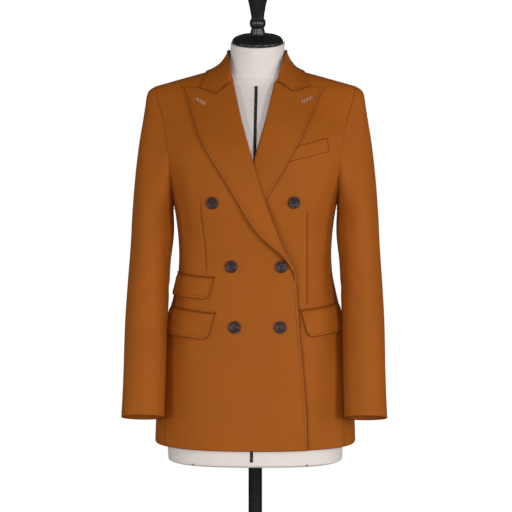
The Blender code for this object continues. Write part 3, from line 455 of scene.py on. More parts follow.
def over_lift(x, height):
    """How far the overlapping front stands off the jacket's surface."""
    upper = ease((height - 0.99) / 0.06)
    lift = OVER_LIFT_LOWER + (OVER_LIFT_UPPER - OVER_LIFT_LOWER) * upper
    return lift * (1 - ease((height - 1.285) / 0.07)) * ease((x + 0.160) / 0.050)


def on_front(x, height, lift, over=False):
    place = place_at(x, height)
    extra = over_lift(x, height) if over else 0.0
    return jacket_lifted(angle_at(x, place), place, lift + extra)


def on_side(angle, height, lift, over=False):
    x = jacket(angle, place_at(0.15, height))[..., 0]
    extra = over_lift(x, height) if over else 0.0
    return jacket_lifted(angle, place_at(x, height), lift + extra)


def edge_reach(height):
    """Reach of the front's edge, evened out over a short stretch so that it has no corners."""
    spread = np.linspace(-0.010, 0.010, 9)
    return sum(np.interp(height + shift, EDGE_HEIGHTS, EDGE_REACHES) for shift in spread) / len(spread)


def hem_place(angle):
    dip = HEM_DIP * np.maximum(np.cos(angle), 0.0) ** 0.7
    return place_at(0.0, HEM_LEVEL - dip)


def side_seam(place):
    top = angle_at(station("arm", ARM_STATION), ARM_STATION)
    return SIDE_SEAM_AT_HEM + (top - SIDE_SEAM_AT_HEM) * np.minimum(place / ARM_STATION, 1.0)


def back_seam(place):
    top = angle_at(station("arm", ARM_STATION), ARM_STATION, back=True)
    return BACK_SEAM_AT_HEM + (top - BACK_SEAM_AT_HEM) * np.minimum(place / ARM_STATION, 1.0)


# ---------------------------------------------------------------- sheets

def steps_between(length, start, end, pitch):
    """Shares of a length, close together at its ends as the two lists of distances say."""
    inner, outer = start[-1], length - end[-1]
    count = max(int(round((outer - inner) / pitch)), 1)
    middle = np.linspace(inner, outer, count + 1)[1:-1]
    places = np.concatenate([start, middle, length - np.asarray(end)[::-1]])
    return places / length


def grid_normals(grid):
    across = np.gradient(grid, axis=1)
    up = np.gradient(grid, axis=0)
    return unit(np.cross(across, up))


def walked(grid, axis):
    """Distance along the grid's lines, from their start."""
    lengths = np.linalg.norm(np.diff(grid, axis=axis), axis=-1)
    total = np.cumsum(lengths, axis=axis)
    pad = [(0, 0), (0, 0)]
    pad[axis] = (1, 0)
    return np.pad(total, pad)


def rounded(distance, depth):
    """How far a sheet bends in near an edge, at a distance from it."""
    near = np.clip(1 - distance / EDGE_ROUND, 0.0, 1.0)
    return depth * (1 - np.sqrt(1 - near * near))


def picked(distance):
    """The shallow channel that a row of pick stitches pulls along an edge."""
    return PICK_DEPTH * np.exp(-((distance - PICK_INSET) / PICK_WIDTH) ** 2)


def fold_relief(first, second, folds):
    """Soft troughs and ridges at points given by two coordinates."""
    relief = np.zeros(np.shape(first))
    for (x0, z0), (x1, z1), width, rise in folds:
        reach = np.array([x1 - x0, z1 - z0])
        length = np.hypot(*reach)
        along = ((first - x0) * reach[0] + (second - z0) * reach[1]) / length**2
        away = ((first - x0) * -reach[1] + (second - z0) * reach[0]) / length
        sway = width * 0.35 * np.sin(along * 4.1 + x0 * 90)
        held = ease(along / 0.4 + 0.35) * ease((1 - along) / 0.4 + 0.35)
        relief += rise * held * np.exp(-((away - sway) / width) ** 2)
    return relief


class Sheet:
    """A cloth sheet as a grid of points, rows upwards and columns across."""

    def __init__(self, grid, outward):
        self.grid = grid
        self.outward = outward
        self.shade = np.zeros(grid.shape[:2])

    def distances(self):
        across, up = walked(self.grid, 1), walked(self.grid, 0)
        return {"left": across, "right": across[:, -1:] - across,
                "bottom": up, "top": up[-1:, :] - up}

    def normals(self):
        return grid_normals(self.grid) * self.outward

    def push(self, amount):
        self.grid = self.grid + self.normals() * np.asarray(amount)[..., None]

    def darken(self, amount):
        """Paints shade, from 0 to 1, where the cloth turns under or is pressed into a line."""
        self.shade = np.maximum(self.shade, np.clip(amount, 0.0, 1.0))

    def finish_edges(self, rounds, picks=(), shades=None):
        """Turns edges under, pulls in the pick stitching and paints shade along the turned edges and
        seams.
        """
        distances = self.distances()
        amount = np.zeros(self.grid.shape[:2])
        for edge, depth in rounds.items():
            amount -= rounded(distances[edge], depth)
            shade = (shades or {}).get(edge, EDGE_SHADE)
            self.darken(shade * np.exp(-(distances[edge] / EDGE_SHADE_WIDTH) ** 2))
        for edge in picks:
            amount -= picked(distances[edge])
        self.push(amount)

    def line_from(self, edge, inset, start=0.0, end=0.0):
        """Points and normals on a line at a distance inside an edge, less a piece of each end."""
        distances = self.distances()
        reach, grid, normals = distances[edge], self.grid, self.normals()
        if edge in ("left", "right"):
            lanes = range(grid.shape[0])
            pick = [(reach[i], grid[i], normals[i]) for i in lanes]
        else:
            lanes = range(grid.shape[1])
            pick = [(reach[:, i], grid[:, i], normals[:, i]) for i in lanes]
        line, outs = [], []
        for far, spots, ways in pick:
            order = np.argsort(far)
            line.append([np.interp(inset, far[order], spots[order, k]) for k in range(3)])
            outs.append([np.interp(inset, far[order], ways[order, k]) for k in range(3)])
        line, outs = np.array(line), np.array(outs)
        walk = np.concatenate([[0], np.cumsum(np.linalg.norm(np.diff(line, axis=0), axis=1))])
        keep = (walk >= start) & (walk <= walk[-1] - end)
        return line[keep], outs[keep]


def mesh_of(name, points, faces):
    mesh = bpy.data.meshes.new(name)
    mesh.from_pydata([tuple(p) for p in points], [], faces)
    mesh.validate()
    return mesh


def link(name, mesh):
    piece = bpy.data.objects.new(name, mesh)
    bpy.context.scene.collection.objects.link(piece)
    return piece


def choose(*pieces):
    bpy.ops.object.select_all(action="DESELECT")
    for piece in pieces:
        piece.select_set(True)
    bpy.context.view_layer.objects.active = pieces[0]


def apply_modifiers(piece):
    choose(piece)
    for modifier in list(piece.modifiers):
        bpy.ops.object.modifier_apply(modifier=modifier.name)


def sheet_piece(name, sheet, material, thickness=CLOTH):
    """A closed cloth piece: the sheet is its outer face, and its wall is turned inwards."""
    grid = sheet.grid
    rows, columns = grid.shape[:2]
    index = np.arange(rows * columns).reshape(rows, columns)
    quads = np.stack([index[:-1, :-1], index[:-1, 1:], index[1:, 1:], index[1:, :-1]], axis=-1)
    quads = quads.reshape(-1, 4)
    if sheet.outward < 0:
        quads = quads[:, ::-1]
    mesh = mesh_of(name, grid.reshape(-1, 3), quads.tolist())
    layout = mesh.uv_layers.new(name="UVMap")
    cut = np.stack([walked(grid, 1), walked(grid, 0)], axis=-1).reshape(-1, 2)
    corners = np.zeros(len(mesh.loops), np.int32)
    mesh.loops.foreach_get("vertex_index", corners)
    layout.data.foreach_set("uv", cut[corners].astype(np.float32).ravel())
    # The sheet's painted shade goes onto the mesh, for the material to darken the colour there.
    painted_shade = mesh.attributes.new("painted_shade", "FLOAT", "POINT")
    painted_shade.data.foreach_set("value", sheet.shade.astype(np.float32).ravel())
    piece = link(name, mesh)
    wall = piece.modifiers.new("Wall", "SOLIDIFY")
    wall.thickness = thickness
    wall.offset = -1.0
    apply_modifiers(piece)
    choose(piece)
    bpy.ops.object.shade_smooth_by_angle(angle=radians(50))
    piece.data.materials.append(material)
    return piece


# ---------------------------------------------------------------- stitching

def stitch_template():
    """One small stitch along X, a few faces, as points and faces."""
    bpy.ops.object.select_all(action="DESELECT")
    bpy.ops.mesh.primitive_uv_sphere_add(segments=6, ring_count=5, radius=1.0)
    ball = bpy.context.object
    spots = np.array([tuple(v.co) for v in ball.data.vertices])[:, [2, 0, 1]]
    faces = [list(p.vertices) for p in ball.data.polygons]
    bpy.data.objects.remove(ball)
    return spots, faces


STITCH_SPOTS, STITCH_FACES = stitch_template()


def even_places(line, outs, pitch):
    walk = np.concatenate([[0], np.cumsum(np.linalg.norm(np.diff(line, axis=0), axis=1))])
    count = max(int(walk[-1] / pitch), 1)
    at = (np.arange(count) + 0.5) * walk[-1] / count
    spots = np.stack([np.interp(at, walk, line[:, k]) for k in range(3)], axis=1)
    ahead = np.stack([np.interp(at + 0.001, walk, line[:, k]) for k in range(3)], axis=1)
    behind = np.stack([np.interp(at - 0.001, walk, line[:, k]) for k in range(3)], axis=1)
    ups = unit(np.stack([np.interp(at, walk, outs[:, k]) for k in range(3)], axis=1))
    return spots, unit(ahead - behind), ups


def stitches(name, rows, material, length=0.0025, width=0.00130, height=0.00040,
             pitch=PICK_PITCH):
    """Rows of small stitches as one piece. A row is the points of a line and their normals."""
    points, faces = [], []
    for line, outs in rows:
        for spot, along, up in zip(*even_places(line, outs, pitch)):
            side = np.cross(up, along)
            shape = (STITCH_SPOTS[:, :1] * along * length / 2 + STITCH_SPOTS[:, 1:2] * side * width / 2
                     + STITCH_SPOTS[:, 2:] * up * height)
            start = sum(len(p) for p in points)
            points.append(spot + shape)
            faces += [[start + k for k in face] for face in STITCH_FACES]
    piece = link(name, mesh_of(name, np.concatenate(points), faces))
    choose(piece)
    bpy.ops.object.shade_smooth()
    piece.data.materials.append(material)
    return piece


def thread_line(name, spots, radius, material):
    """A thread through points, as a thin round tube."""
    curve = bpy.data.curves.new(name, "CURVE")
    curve.dimensions = "3D"
    curve.bevel_depth = radius
    curve.bevel_resolution = 2
    curve.use_fill_caps = True
    for run in spots:
        spline = curve.splines.new("POLY")
        spline.points.add(len(run) - 1)
        for point, spot in zip(spline.points, run):
            point.co = (*spot, 1.0)
    piece = link(name, curve)
    choose(piece)
    bpy.ops.object.convert(target="MESH")
    piece = bpy.context.object
    piece.name = name
    bpy.ops.object.shade_smooth()
    piece.data.materials.append(material)
    return piece


# ---------------------------------------------------------------- materials

def new_material(name, colour, roughness, metallic=0.0, specular=0.5):
    material = bpy.data.materials.new(name)
    material.use_nodes = True
    shader = material.node_tree.nodes["Principled BSDF"]
    shader.inputs["Base Color"].default_value = (*colour, 1.0)
    shader.inputs["Roughness"].default_value = roughness
    shader.inputs["Metallic"].default_value = metallic
    shader.inputs["Specular IOR Level"].default_value = specular
    return material, material.node_tree, shader


def add_node(tree, kind, **values):
    node = tree.nodes.new(kind)
    for key, value in values.items():
        setattr(node, key, value)
    return node


def coordinates(tree, output, scale):
    source = add_node(tree, "ShaderNodeTexCoord")
    mapping = add_node(tree, "ShaderNodeMapping")
    mapping.inputs["Scale"].default_value = scale
    tree.links.new(source.outputs[output], mapping.inputs["Vector"])
    return mapping


def noise_node(tree, vector, scale, detail, roughness=0.5):
    noise = add_node(tree, "ShaderNodeTexNoise")
    noise.inputs["Scale"].default_value = scale
    noise.inputs["Detail"].default_value = detail
    noise.inputs["Roughness"].default_value = roughness
    tree.links.new(vector.outputs["Vector"], noise.inputs["Vector"])
    return noise


def colour_ramp(tree, source, stops):
    ramp = add_node(tree, "ShaderNodeValToRGB")
    elements = ramp.color_ramp.elements
    while len(elements) < len(stops):
        elements.new(0.5)
    for element, (place, colour) in zip(elements, stops):
        element.position = place
        element.color = (*colour, 1.0)
    tree.links.new(source, ramp.inputs["Fac"])
    return ramp


def mixed(tree, share, first, second, blend="MIX"):
    mix = add_node(tree, "ShaderNodeMix", data_type="RGBA", blend_type=blend)
    for socket, value in ((mix.inputs[0], share), (mix.inputs[6], first), (mix.inputs[7], second)):
        if isinstance(value, bpy.types.NodeSocket):
            tree.links.new(value, socket)
        elif isinstance(value, float):
            socket.default_value = value
        else:
            socket.default_value = (*value, 1.0)
    return mix.outputs[2]


def bump(tree, height, strength, distance, under=None):
    node = add_node(tree, "ShaderNodeBump")
    node.inputs["Strength"].default_value = strength
    node.inputs["Distance"].default_value = distance
    tree.links.new(height, node.inputs["Height"])
    if under is not None:
        tree.links.new(under.outputs["Normal"], node.inputs["Normal"])
    return node


def wool(name, colour, turn=0.0):
    """Fine worsted twill: diagonal ribs, a little uneven dye and nap, and a soft sheen, with painted
    shade where the sheet marks it.
    """
    material, tree, shader = new_material(name, colour, 0.62, specular=0.10)
    cut = coordinates(tree, "UV", (1.0, 1.0, 1.0))
    cut.inputs["Rotation"].default_value = (0.0, 0.0, radians(52) + turn)
    ribs = add_node(tree, "ShaderNodeTexWave", wave_type="BANDS", bands_direction="X")
    ribs.inputs["Scale"].default_value = 330.0
    ribs.inputs["Distortion"].default_value = 0.6
    ribs.inputs["Detail"].default_value = 1.0
    ribs.inputs["Detail Scale"].default_value = 2.0
    tree.links.new(cut.outputs["Vector"], ribs.inputs["Vector"])
    place = coordinates(tree, "Object", (1.0, 1.0, 1.0))
    cloud = noise_node(tree, place, 9.0, 3.0)
    slub = noise_node(tree, place, 420.0, 2.0, 0.6)
    tone = tuple(c * 0.93 for c in colour)
    warm = tuple(min(c * k, 1.0) for c, k in zip(colour, (1.06, 1.05, 1.0)))
    dye = colour_ramp(tree, cloud.outputs["Fac"], ((0.32, tone), (0.68, warm)))
    ribbed = mixed(tree, ribs.outputs["Color"], tuple(c * 0.90 for c in colour), warm)
    blended = mixed(tree, 0.35, dye.outputs["Color"], ribbed)
    # Painted shade: the colour is darkened where the sheet marks shade at its edges, seams and darts.
    painted_shade = add_node(tree, "ShaderNodeAttribute", attribute_name="painted_shade")
    deep = tuple(c * k for c, k in zip(colour, PAINTED_SHADE_TONE))
    lined = mixed(tree, painted_shade.outputs["Fac"], blended, deep)
    tree.links.new(lined, shader.inputs["Base Color"])
    fine = bump(tree, ribs.outputs["Color"], 0.35, 0.00012)
    nap = bump(tree, slub.outputs["Fac"], 0.25, 0.00010, fine)
    tree.links.new(nap.outputs["Normal"], shader.inputs["Normal"])
    shader.inputs["Sheen Weight"].default_value = 0.06
    shader.inputs["Sheen Roughness"].default_value = 0.38
    shader.inputs["Sheen Tint"].default_value = (0.85, 0.42, 0.16, 1.0)
    return material


def linen(name, colour):
    """Plain woven cotton linen, with slubs both ways."""
    material, tree, shader = new_material(name, colour, 0.88, specular=0.2)
    place = coordinates(tree, "Object", (1.0, 1.0, 1.0))
    up = coordinates(tree, "Object", (900.0, 900.0, 60.0))
    over = coordinates(tree, "Object", (90.0, 90.0, 1100.0))
    warp = noise_node(tree, up, 1.0, 2.0)
    weft = noise_node(tree, over, 1.0, 2.0)
    cloud = noise_node(tree, place, 7.0, 3.0)
    soft = colour_ramp(tree, cloud.outputs["Fac"],
                       ((0.30, tuple(c * 0.95 for c in colour)), (0.70, colour)))
    both = add_node(tree, "ShaderNodeMath", operation="ADD")
    tree.links.new(warp.outputs["Fac"], both.inputs[0])
    tree.links.new(weft.outputs["Fac"], both.inputs[1])
    half = add_node(tree, "ShaderNodeMath", operation="MULTIPLY")
    half.inputs[1].default_value = 0.5
    tree.links.new(both.outputs[0], half.inputs[0])
    thread = colour_ramp(tree, half.outputs[0],
                         ((0.35, tuple(c * 0.84 for c in colour)), (0.62, (1.0, 1.0, 1.0))))
    tree.links.new(mixed(tree, 0.30, soft.outputs["Color"], thread.outputs["Color"], "MULTIPLY"),
                   shader.inputs["Base Color"])
    weave = bump(tree, half.outputs[0], 0.5, 0.0003)
    tree.links.new(weave.outputs["Normal"], shader.inputs["Normal"])
    shader.inputs["Sheen Weight"].default_value = 0.15
    return material


def lacquer(name, colour, roughness, coat):
    """Gloss lacquer over wood or steel, with a faint unevenness and fine rubs."""
    material, tree, shader = new_material(name, colour, roughness, specular=0.12 + coat)
    place = coordinates(tree, "Object", (1.0, 1.0, 1.0))
    wave = noise_node(tree, place, 26.0, 2.0)
    rubs = noise_node(tree, place, 240.0, 3.0)
    rub = colour_ramp(tree, rubs.outputs["Fac"],
                      ((0.40, (roughness,) * 3), (0.80, (min(roughness + 0.18, 1.0),) * 3)))
    tree.links.new(rub.outputs["Color"], shader.inputs["Roughness"])
    tone = colour_ramp(tree, wave.outputs["Fac"],
                       ((0.35, colour), (0.75, tuple(min(c * 1.35, 1.0) for c in colour))))
    tree.links.new(tone.outputs["Color"], shader.inputs["Base Color"])
    flow = bump(tree, wave.outputs["Fac"], 0.06, 0.002)
    tree.links.new(flow.outputs["Normal"], shader.inputs["Normal"])
    shader.inputs["Coat Weight"].default_value = coat
    shader.inputs["Coat Roughness"].default_value = 0.16
    return material


def horn(name):
    """Polished dark horn, purple brown with paler streaks."""
    material, tree, shader = new_material(name, (0.032, 0.017, 0.015), 0.42, specular=0.25)
    grain = coordinates(tree, "Object", (60.0, 60.0, 240.0))
    streak = noise_node(tree, grain, 1.6, 4.0, 0.6)
    tone = colour_ramp(tree, streak.outputs["Fac"],
                       ((0.30, (0.016, 0.008, 0.008)), (0.52, (0.040, 0.020, 0.022)),
                        (0.74, (0.100, 0.060, 0.064))))
    tree.links.new(tone.outputs["Color"], shader.inputs["Base Color"])
    shader.inputs["Coat Weight"].default_value = 0.06
    shader.inputs["Coat Roughness"].default_value = 0.20
    return material


def plain_thread(name, colour, roughness=0.7):
    material, tree, shader = new_material(name, colour, roughness, specular=0.3)
    place = coordinates(tree, "Object", (1.0, 1.0, 1.0))
    twist = noise_node(tree, place, 1500.0, 1.0)
    tone = colour_ramp(tree, twist.outputs["Fac"],
                       ((0.35, tuple(c * 0.75 for c in colour)), (0.65, colour)))
    tree.links.new(tone.outputs["Color"], shader.inputs["Base Color"])
    lay = bump(tree, twist.outputs["Fac"], 0.4, 0.0001)
    tree.links.new(lay.outputs["Normal"], shader.inputs["Normal"])
    return material


WOOL_COLOUR = (0.372, 0.0985, 0.0090)
suiting = wool("rust_wool", WOOL_COLOUR)
# The facing is the same wool with its ribs on another grain; its colour is a little darker in red and
# green as painted shade, for the lapels and collar reading darker under the lights.
FACING_SHADED_COLOUR = tuple(c * k for c, k in zip(WOOL_COLOUR, (0.97, 0.97, 1.0)))
facing = wool("rust_wool_facing", FACING_SHADED_COLOUR, radians(35))
form_linen = linen("off_white_linen", (0.860, 0.795, 0.745))
black_lacquer = lacquer("black_lacquer", (0.010, 0.009, 0.010), 0.30, 0.25)
black_steel = lacquer("black_enamelled_steel", (0.008, 0.008, 0.009), 0.48, 0.0)
button_horn = horn("dark_horn")
# The pick thread is made dark so the stitches read as the shaded dimples they pull into the cloth:
# painted shade.
pick_thread = plain_thread("pick_thread", (0.110, 0.024, 0.005))
mark_thread = plain_thread("marking_thread", (0.760, 0.480, 0.400))
sewing_thread = plain_thread("button_thread", (0.070, 0.030, 0.022))
tape_cotton = plain_thread("black_tape", (0.018, 0.018, 0.020), 0.85)
tape_thread = plain_thread("tape_thread", (0.420, 0.400, 0.390))
brass = new_material("brass", (0.520, 0.330, 0.120), 0.32, metallic=1.0)[0]


# ---------------------------------------------------------------- body panels

def keep(piece, *nodes, slot="suiting"):
    """Rides a finished piece on the root and hides the imported parts it stands in for."""
    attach(piece, "root")
    if nodes:
        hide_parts(*nodes)
    return piece


def cloth_piece(node, sheet, material, wall=CLOTH):
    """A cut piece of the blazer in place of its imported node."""
    piece = keep(sheet_piece("wool_" + node, sheet, material, wall), node)


def front_sheet(side):
    """A front. Side -1 is the wearer's right, which laps over the left one."""
    over = side < 0
    dart_heights, dart_xs = DART_RIGHT if over else DART_LEFT
    edge_shares = steps_between(0.170, PICKED_EDGE, FINE_DART, 0.0052)
    dart_shares = steps_between(0.100, FINE_DART, FINE_EDGE, 0.0052)
    across = np.concatenate([edge_shares, 1 + dart_shares[1:]])
    up = steps_between(0.720, PICKED_EDGE, FINE_EDGE, 0.0056)
    half, rise = np.meshgrid(across, up)

    def placed(low, high, top):
        return low + (high - low) * top

    hem = hem_place(0.0)
    place = placed(hem, float(SHOULDER_STATION), rise)
    for _ in range(3):
        height = station("level", place)
        for _ in range(6):
            roll = ease((height - BREAK_HEIGHT) / 0.02) * ROLL_SETBACK
            x = CENTRE_X - side * (edge_reach(height) - roll)
            height = station("level", place) - shoulder_fall(x, place)
        start = angle_at(x, place)
        seam = np.where(place > ARM_STATION, angle_at(side * station("arm", place), place),
                        side * side_seam(place))
        dart_x = np.interp(height, dart_heights, dart_xs)
        dart = angle_at(dart_x, place)
        angle = np.where(half < 1, start + (dart - start) * half, dart + (seam - dart) * (half - 1))
        place = placed(hem_place(angle), float(SHOULDER_STATION), rise)
    spot = jacket(angle, place)
    grid = jacket_lifted(angle, place, over_lift(spot[..., 0], spot[..., 2]) if over else 0.0)
    sheet = Sheet(grid, 1.0 if side > 0 else -1.0)
    if np.mean(sheet.normals()[..., 1]) > 0:
        sheet.outward = -sheet.outward
    away = np.abs(spot[..., 0] - dart_x)
    shown = ease((spot[..., 2] - dart_heights[0] + 0.004) / 0.008)
    shown = shown * ease((dart_heights[-1] - spot[..., 2]) / 0.018)
    relief = fold_relief(spot[..., 0], spot[..., 2], FOLDS_FRONT_RIGHT if over else FOLDS_FRONT_LEFT)
    relief -= DART_DEPTH * shown * np.exp(-(away / DART_WIDTH) ** 2)
    sheet.push(relief)
    # Painted shade along the dart's line.
    sheet.darken(DART_SHADE * shown * np.exp(-(away / EDGE_SHADE_WIDTH) ** 2))
    # Painted shadow that the lapped front's edge casts on the under front.
    if not over:
        lap_x = CENTRE_X + edge_reach(spot[..., 2])
        sheet.darken(LAP_SHADE * np.exp(-((spot[..., 0] - lap_x) / LAP_SHADE_WIDTH) ** 2))
    picks = ("left",) if over else ()
    sheet.finish_edges({"left": TURNED_EDGE, "right": SEAM_DIP, "bottom": HEM_DROP, "top": SEAM_DIP},
                       picks, {"right": SEAM_SHADE, "top": SEAM_SHADE})
    return sheet


def armhole_low(angle):
    start, end = side_seam(ARM_STATION), back_seam(ARM_STATION)
    share = (np.abs(angle) - start) / (end - start)
    scoop = 1 - (2 * share - 1) ** 2
    return place_at(0.0, station("level", ARM_STATION) - ARMHOLE_DROP * np.maximum(scoop, 0.0))


def side_sheet(side):
    across = steps_between(0.140, FINE_EDGE, FINE_EDGE, 0.0055)
    up = steps_between(0.480, FINE_EDGE, FINE_EDGE, 0.0060)
    share, rise = np.meshgrid(across, up)
    top_angle = side_seam(ARM_STATION) * (1 - share) + back_seam(ARM_STATION) * share
    top = armhole_low(top_angle)
    place = top * rise
    for _ in range(3):
        start, end = side_seam(place), back_seam(place)
        angle = start + (end - start) * share
        low = hem_place(angle)
        place = low + (top - low) * rise
    sheet = Sheet(jacket(side * angle, place), 1.0 if side > 0 else -1.0)
    if np.mean(sheet.normals()[..., 0]) * side < 0:
        sheet.outward = -sheet.outward
    sheet.push(fold_relief(sheet.grid[..., 1], sheet.grid[..., 2], FOLDS_SIDE))
    sheet.finish_edges({"left": SEAM_DIP, "right": SEAM_DIP, "bottom": HEM_DROP, "top": 0.0006},
                       shades={"left": SEAM_SHADE, "right": SEAM_SHADE})
    return sheet


def back_sheet(side):
    across = steps_between(0.200, FINE_EDGE, FINE_EDGE, 0.0056)
    up = steps_between(0.720, FINE_EDGE, FINE_EDGE, 0.0060)
    share, rise = np.meshgrid(across, up)
    hem = place_at(0.0, HEM_LEVEL)
    place = hem + (SHOULDER_STATION - hem) * rise
    seam = np.where(place > ARM_STATION, angle_at(station("arm", place), place, back=True),
                    back_seam(place))
    above = np.clip((SHOULDER_STATION - place) / (SHOULDER_STATION - BACK_NECK_STATION), 0.0, 1.0)
    inner = np.maximum(NECK_HALF_WIDTH * np.sqrt(1 - above * above), 0.00005)
    middle = angle_at(inner, place, back=True)
    angle = side * (seam + (middle - seam) * share)
    sheet = Sheet(jacket(angle, place), 1.0 if side > 0 else -1.0)
    if np.mean(sheet.normals()[..., 1]) < 0:
        sheet.outward = -sheet.outward
    sheet.push(fold_relief(side * sheet.grid[..., 0], sheet.grid[..., 2], FOLDS_BACK))
    sheet.finish_edges({"left": SEAM_DIP, "right": SEAM_DIP, "bottom": HEM_DROP, "top": SEAM_DIP},
                       shades={"left": SEAM_SHADE, "right": SEAM_SHADE, "top": SEAM_SHADE})
    return sheet


# ---------------------------------------------------------------- lapels and collar

def gorge_line(side, share):
    rows = LAPEL_OVER if side < 0 else LAPEL_UNDER
    roll_height, tip_x, tip_height = rows[-1][:3]
    roll_x = CENTRE_X - side * edge_reach(roll_height)
    shares = (0.0, 0.36, 0.68, 1.0)
    middle, corner = GORGE_MID[side], GORGE_CORNER[side]
    xs = (roll_x, side * middle[0], side * corner[0], tip_x)
    heights = (roll_height - GORGE_ROLL_DROP[side], middle[1], corner[1], tip_height)
    return np.interp(share, shares, xs), np.interp(share, shares, heights)


def lapel_sheet(side):
    """A peak lapel, from its break up to the gorge, with a soft round roll at its fold."""
    over = side < 0
    rows = LAPEL_OVER if over else LAPEL_UNDER
    last = len(rows) - 1
    roll_insets = np.array((0.0, 0.0003, 0.0008, 0.0015, 0.0024, 0.0033, 0.0042, 0.0060, 0.0085))
    flat = steps_between(0.110, (0.0, 0.004), PICKED_EDGE, 0.0046)[1:]
    up = steps_between(0.420, FINE_EDGE, PICKED_EDGE, 0.0048)
    index, rise = np.meshgrid(np.arange(len(roll_insets) + len(flat)), up)
    place = rise * last
    value = {name: column(rows, LAPEL_COLUMNS, name, place) for name in LAPEL_COLUMNS}
    roll_x = CENTRE_X - side * edge_reach(value["roll_height"])
    reach = np.hypot(value["edge_x"] - roll_x, value["edge_height"] - value["roll_height"])
    start = np.minimum(roll_insets[-1] / np.maximum(reach, 1e-5), 0.45)
    inset_share = np.concatenate([roll_insets / roll_insets[-1], np.zeros(len(flat))])[index]
    flat_share = np.concatenate([np.zeros(len(roll_insets)), flat])[index]
    in_roll = index < len(roll_insets)
    share = np.where(in_roll, start * inset_share, start + (1 - start) * flat_share)
    x = roll_x + (value["edge_x"] - roll_x) * share
    height = value["roll_height"] + (value["edge_height"] - value["roll_height"]) * share
    top = np.maximum(0.0, (place - (last - 3)) / 3) ** 2
    gorge_x, gorge_height = gorge_line(side, share)
    top_roll_x = CENTRE_X - side * edge_reach(rows[-1][0])
    x = x + (gorge_x - top_roll_x - (rows[-1][1] - top_roll_x) * share) * top
    height = height + (gorge_height - rows[-1][0] - (rows[-1][2] - rows[-1][0]) * share) * top
    height = height - GORGE_GAP * ease((rise - 0.985) / 0.015)
    inset = share * reach
    rolled = np.sqrt(1 - np.clip(1 - inset / ROLL_RADIUS, 0.0, 1.0) ** 2)
    belly = LAPEL_BELLY * np.sin(pi * share) * ease((place - 5) / 4)
    lift = value["roll_lift"] * (0.25 + 0.75 * rolled)
    lift = lift + (value["edge_lift"] - value["roll_lift"]) * share
    grid = on_front(x, height, lift + belly, over)
    sheet = Sheet(grid, 1.0)
    if np.mean(sheet.normals()[..., 1]) > 0:
        sheet.outward = -1.0
    sheet.finish_edges({"right": TURNED_EDGE, "top": GORGE_EDGE}, ("right", "top"), {"top": GORGE_SHADE})
    return sheet


def collar_profile(place, hand):
    """Points across the collar at a place from the gorge, 0, to the centre back, 6."""
    value = {name: float(column(COLLAR, COLLAR_COLUMNS, name, place)) for name in COLLAR_COLUMNS}
    seam = np.array([value["seam_x"], value["seam_y"], value["seam_z"]])
    fold = np.array([value["fold_x"], value["fold_y"], value["fold_z"]])
    inward = unit(np.array([fold[0], fold[1] - 0.010, 0.0])) * -COLLAR_STAND_INSET
    height = min(np.linalg.norm(fold - seam) / 0.03, 1.0)
    spots = [seam, seam + (fold - seam) * 0.55 + inward * height,
             seam + (fold - seam) * 0.90 + inward * height,
             fold + (inward * 0.2 + np.array([0.0, 0.0, 0.0012])) * height]
    spots = [spot + np.array([hand * neck_lean(spot[2]), 0.0, 0.0]) for spot in spots]
    where = value["leaf_station"]
    behind = where > SHOULDER_STATION
    where = 2 * SHOULDER_STATION - where if behind else where
    x = max(value["leaf_x"], 0.0001)
    edge = jacket_lifted(angle_at(x, where, behind), where, 0.0040 - 0.0016 * float(ease(place / 2)))
    for share in COLLAR_LEAF:
        spot = fold + (edge - fold) * share
        out = unit(np.array([spot[0], spot[1] - 0.005, 0.045]))
        spot = spot - out * value["sag"] * share * (1 - share)
        spot = spot + np.array([hand * neck_lean(fold[2]) * (1 - share), 0.0, 0.0])
        if place < 2:
            gorge_x, gorge_height = gorge_line(hand, 0.68 * share)
            flat = on_front(hand * gorge_x, gorge_height, COLLAR_GORGE_LIFT)
            spot = flat + (spot - flat) * float(ease(place / 2))
        spots.append(spot)
    return np.array(spots) * np.array([hand, 1.0, 1.0])


def collar_sheet():
    """The whole collar: stand, fold and leaf, from one gorge round the neck to the other."""
    places = steps_between(0.210, PICKED_EDGE, (0.0, 0.003), 0.0040) * 6
    leaf_end = 3 + len(COLLAR_LEAF)
    across = np.concatenate([np.linspace(0, 1, 6)[:-1], np.linspace(1, leaf_end - 2, 30)[:-1],
                             leaf_end - 2 + steps_between(0.026, (0.0, 0.001), PICKED_EDGE, 0.0022) * 2])
    left = np.array([along_values(collar_profile(place, 1), across) for place in places])
    right = np.array([along_values(collar_profile(place, -1), across) for place in places])
    sheet = Sheet(np.concatenate([left, right[:-1][::-1]]), 1.0)
    probe = sheet.normals()[len(places) // 2, -3]
    if probe @ np.array([1.0, 0.0, 0.6]) < 0:
        sheet.outward = -1.0
    sheet.finish_edges({"right": TURNED_EDGE, "bottom": GORGE_EDGE, "top": GORGE_EDGE},
                       ("right", "bottom", "top"), {"bottom": GORGE_SHADE, "top": GORGE_SHADE})
    return sheet


# ---------------------------------------------------------------- sleeves

def armhole_points(place):
    """Points on the armhole, counted in ring steps from the shoulder, by the front, and back."""
    place = np.mod(place, RING)
    front_low = SHOULDER_STATION - ARM_STATION
    where = np.clip(SHOULDER_STATION - place, ARM_STATION, SHOULDER_STATION)
    ahead = jacket(angle_at(station("arm", where), where), where)
    where = np.clip(SHOULDER_STATION - (RING - place), ARM_STATION, SHOULDER_STATION)
    behind = jacket(angle_at(station("arm", where), where, back=True), where)
    part = np.clip((place - front_low) / (RING - 2 * front_low), 0.0, 1.0)
    angle = side_seam(ARM_STATION) * (1 - part) + back_seam(ARM_STATION) * part
    under = jacket(angle, armhole_low(angle))
    low = (place > front_low) & (place < RING - front_low)
    return np.where(low[..., None], under, np.where((place <= front_low)[..., None], ahead, behind))


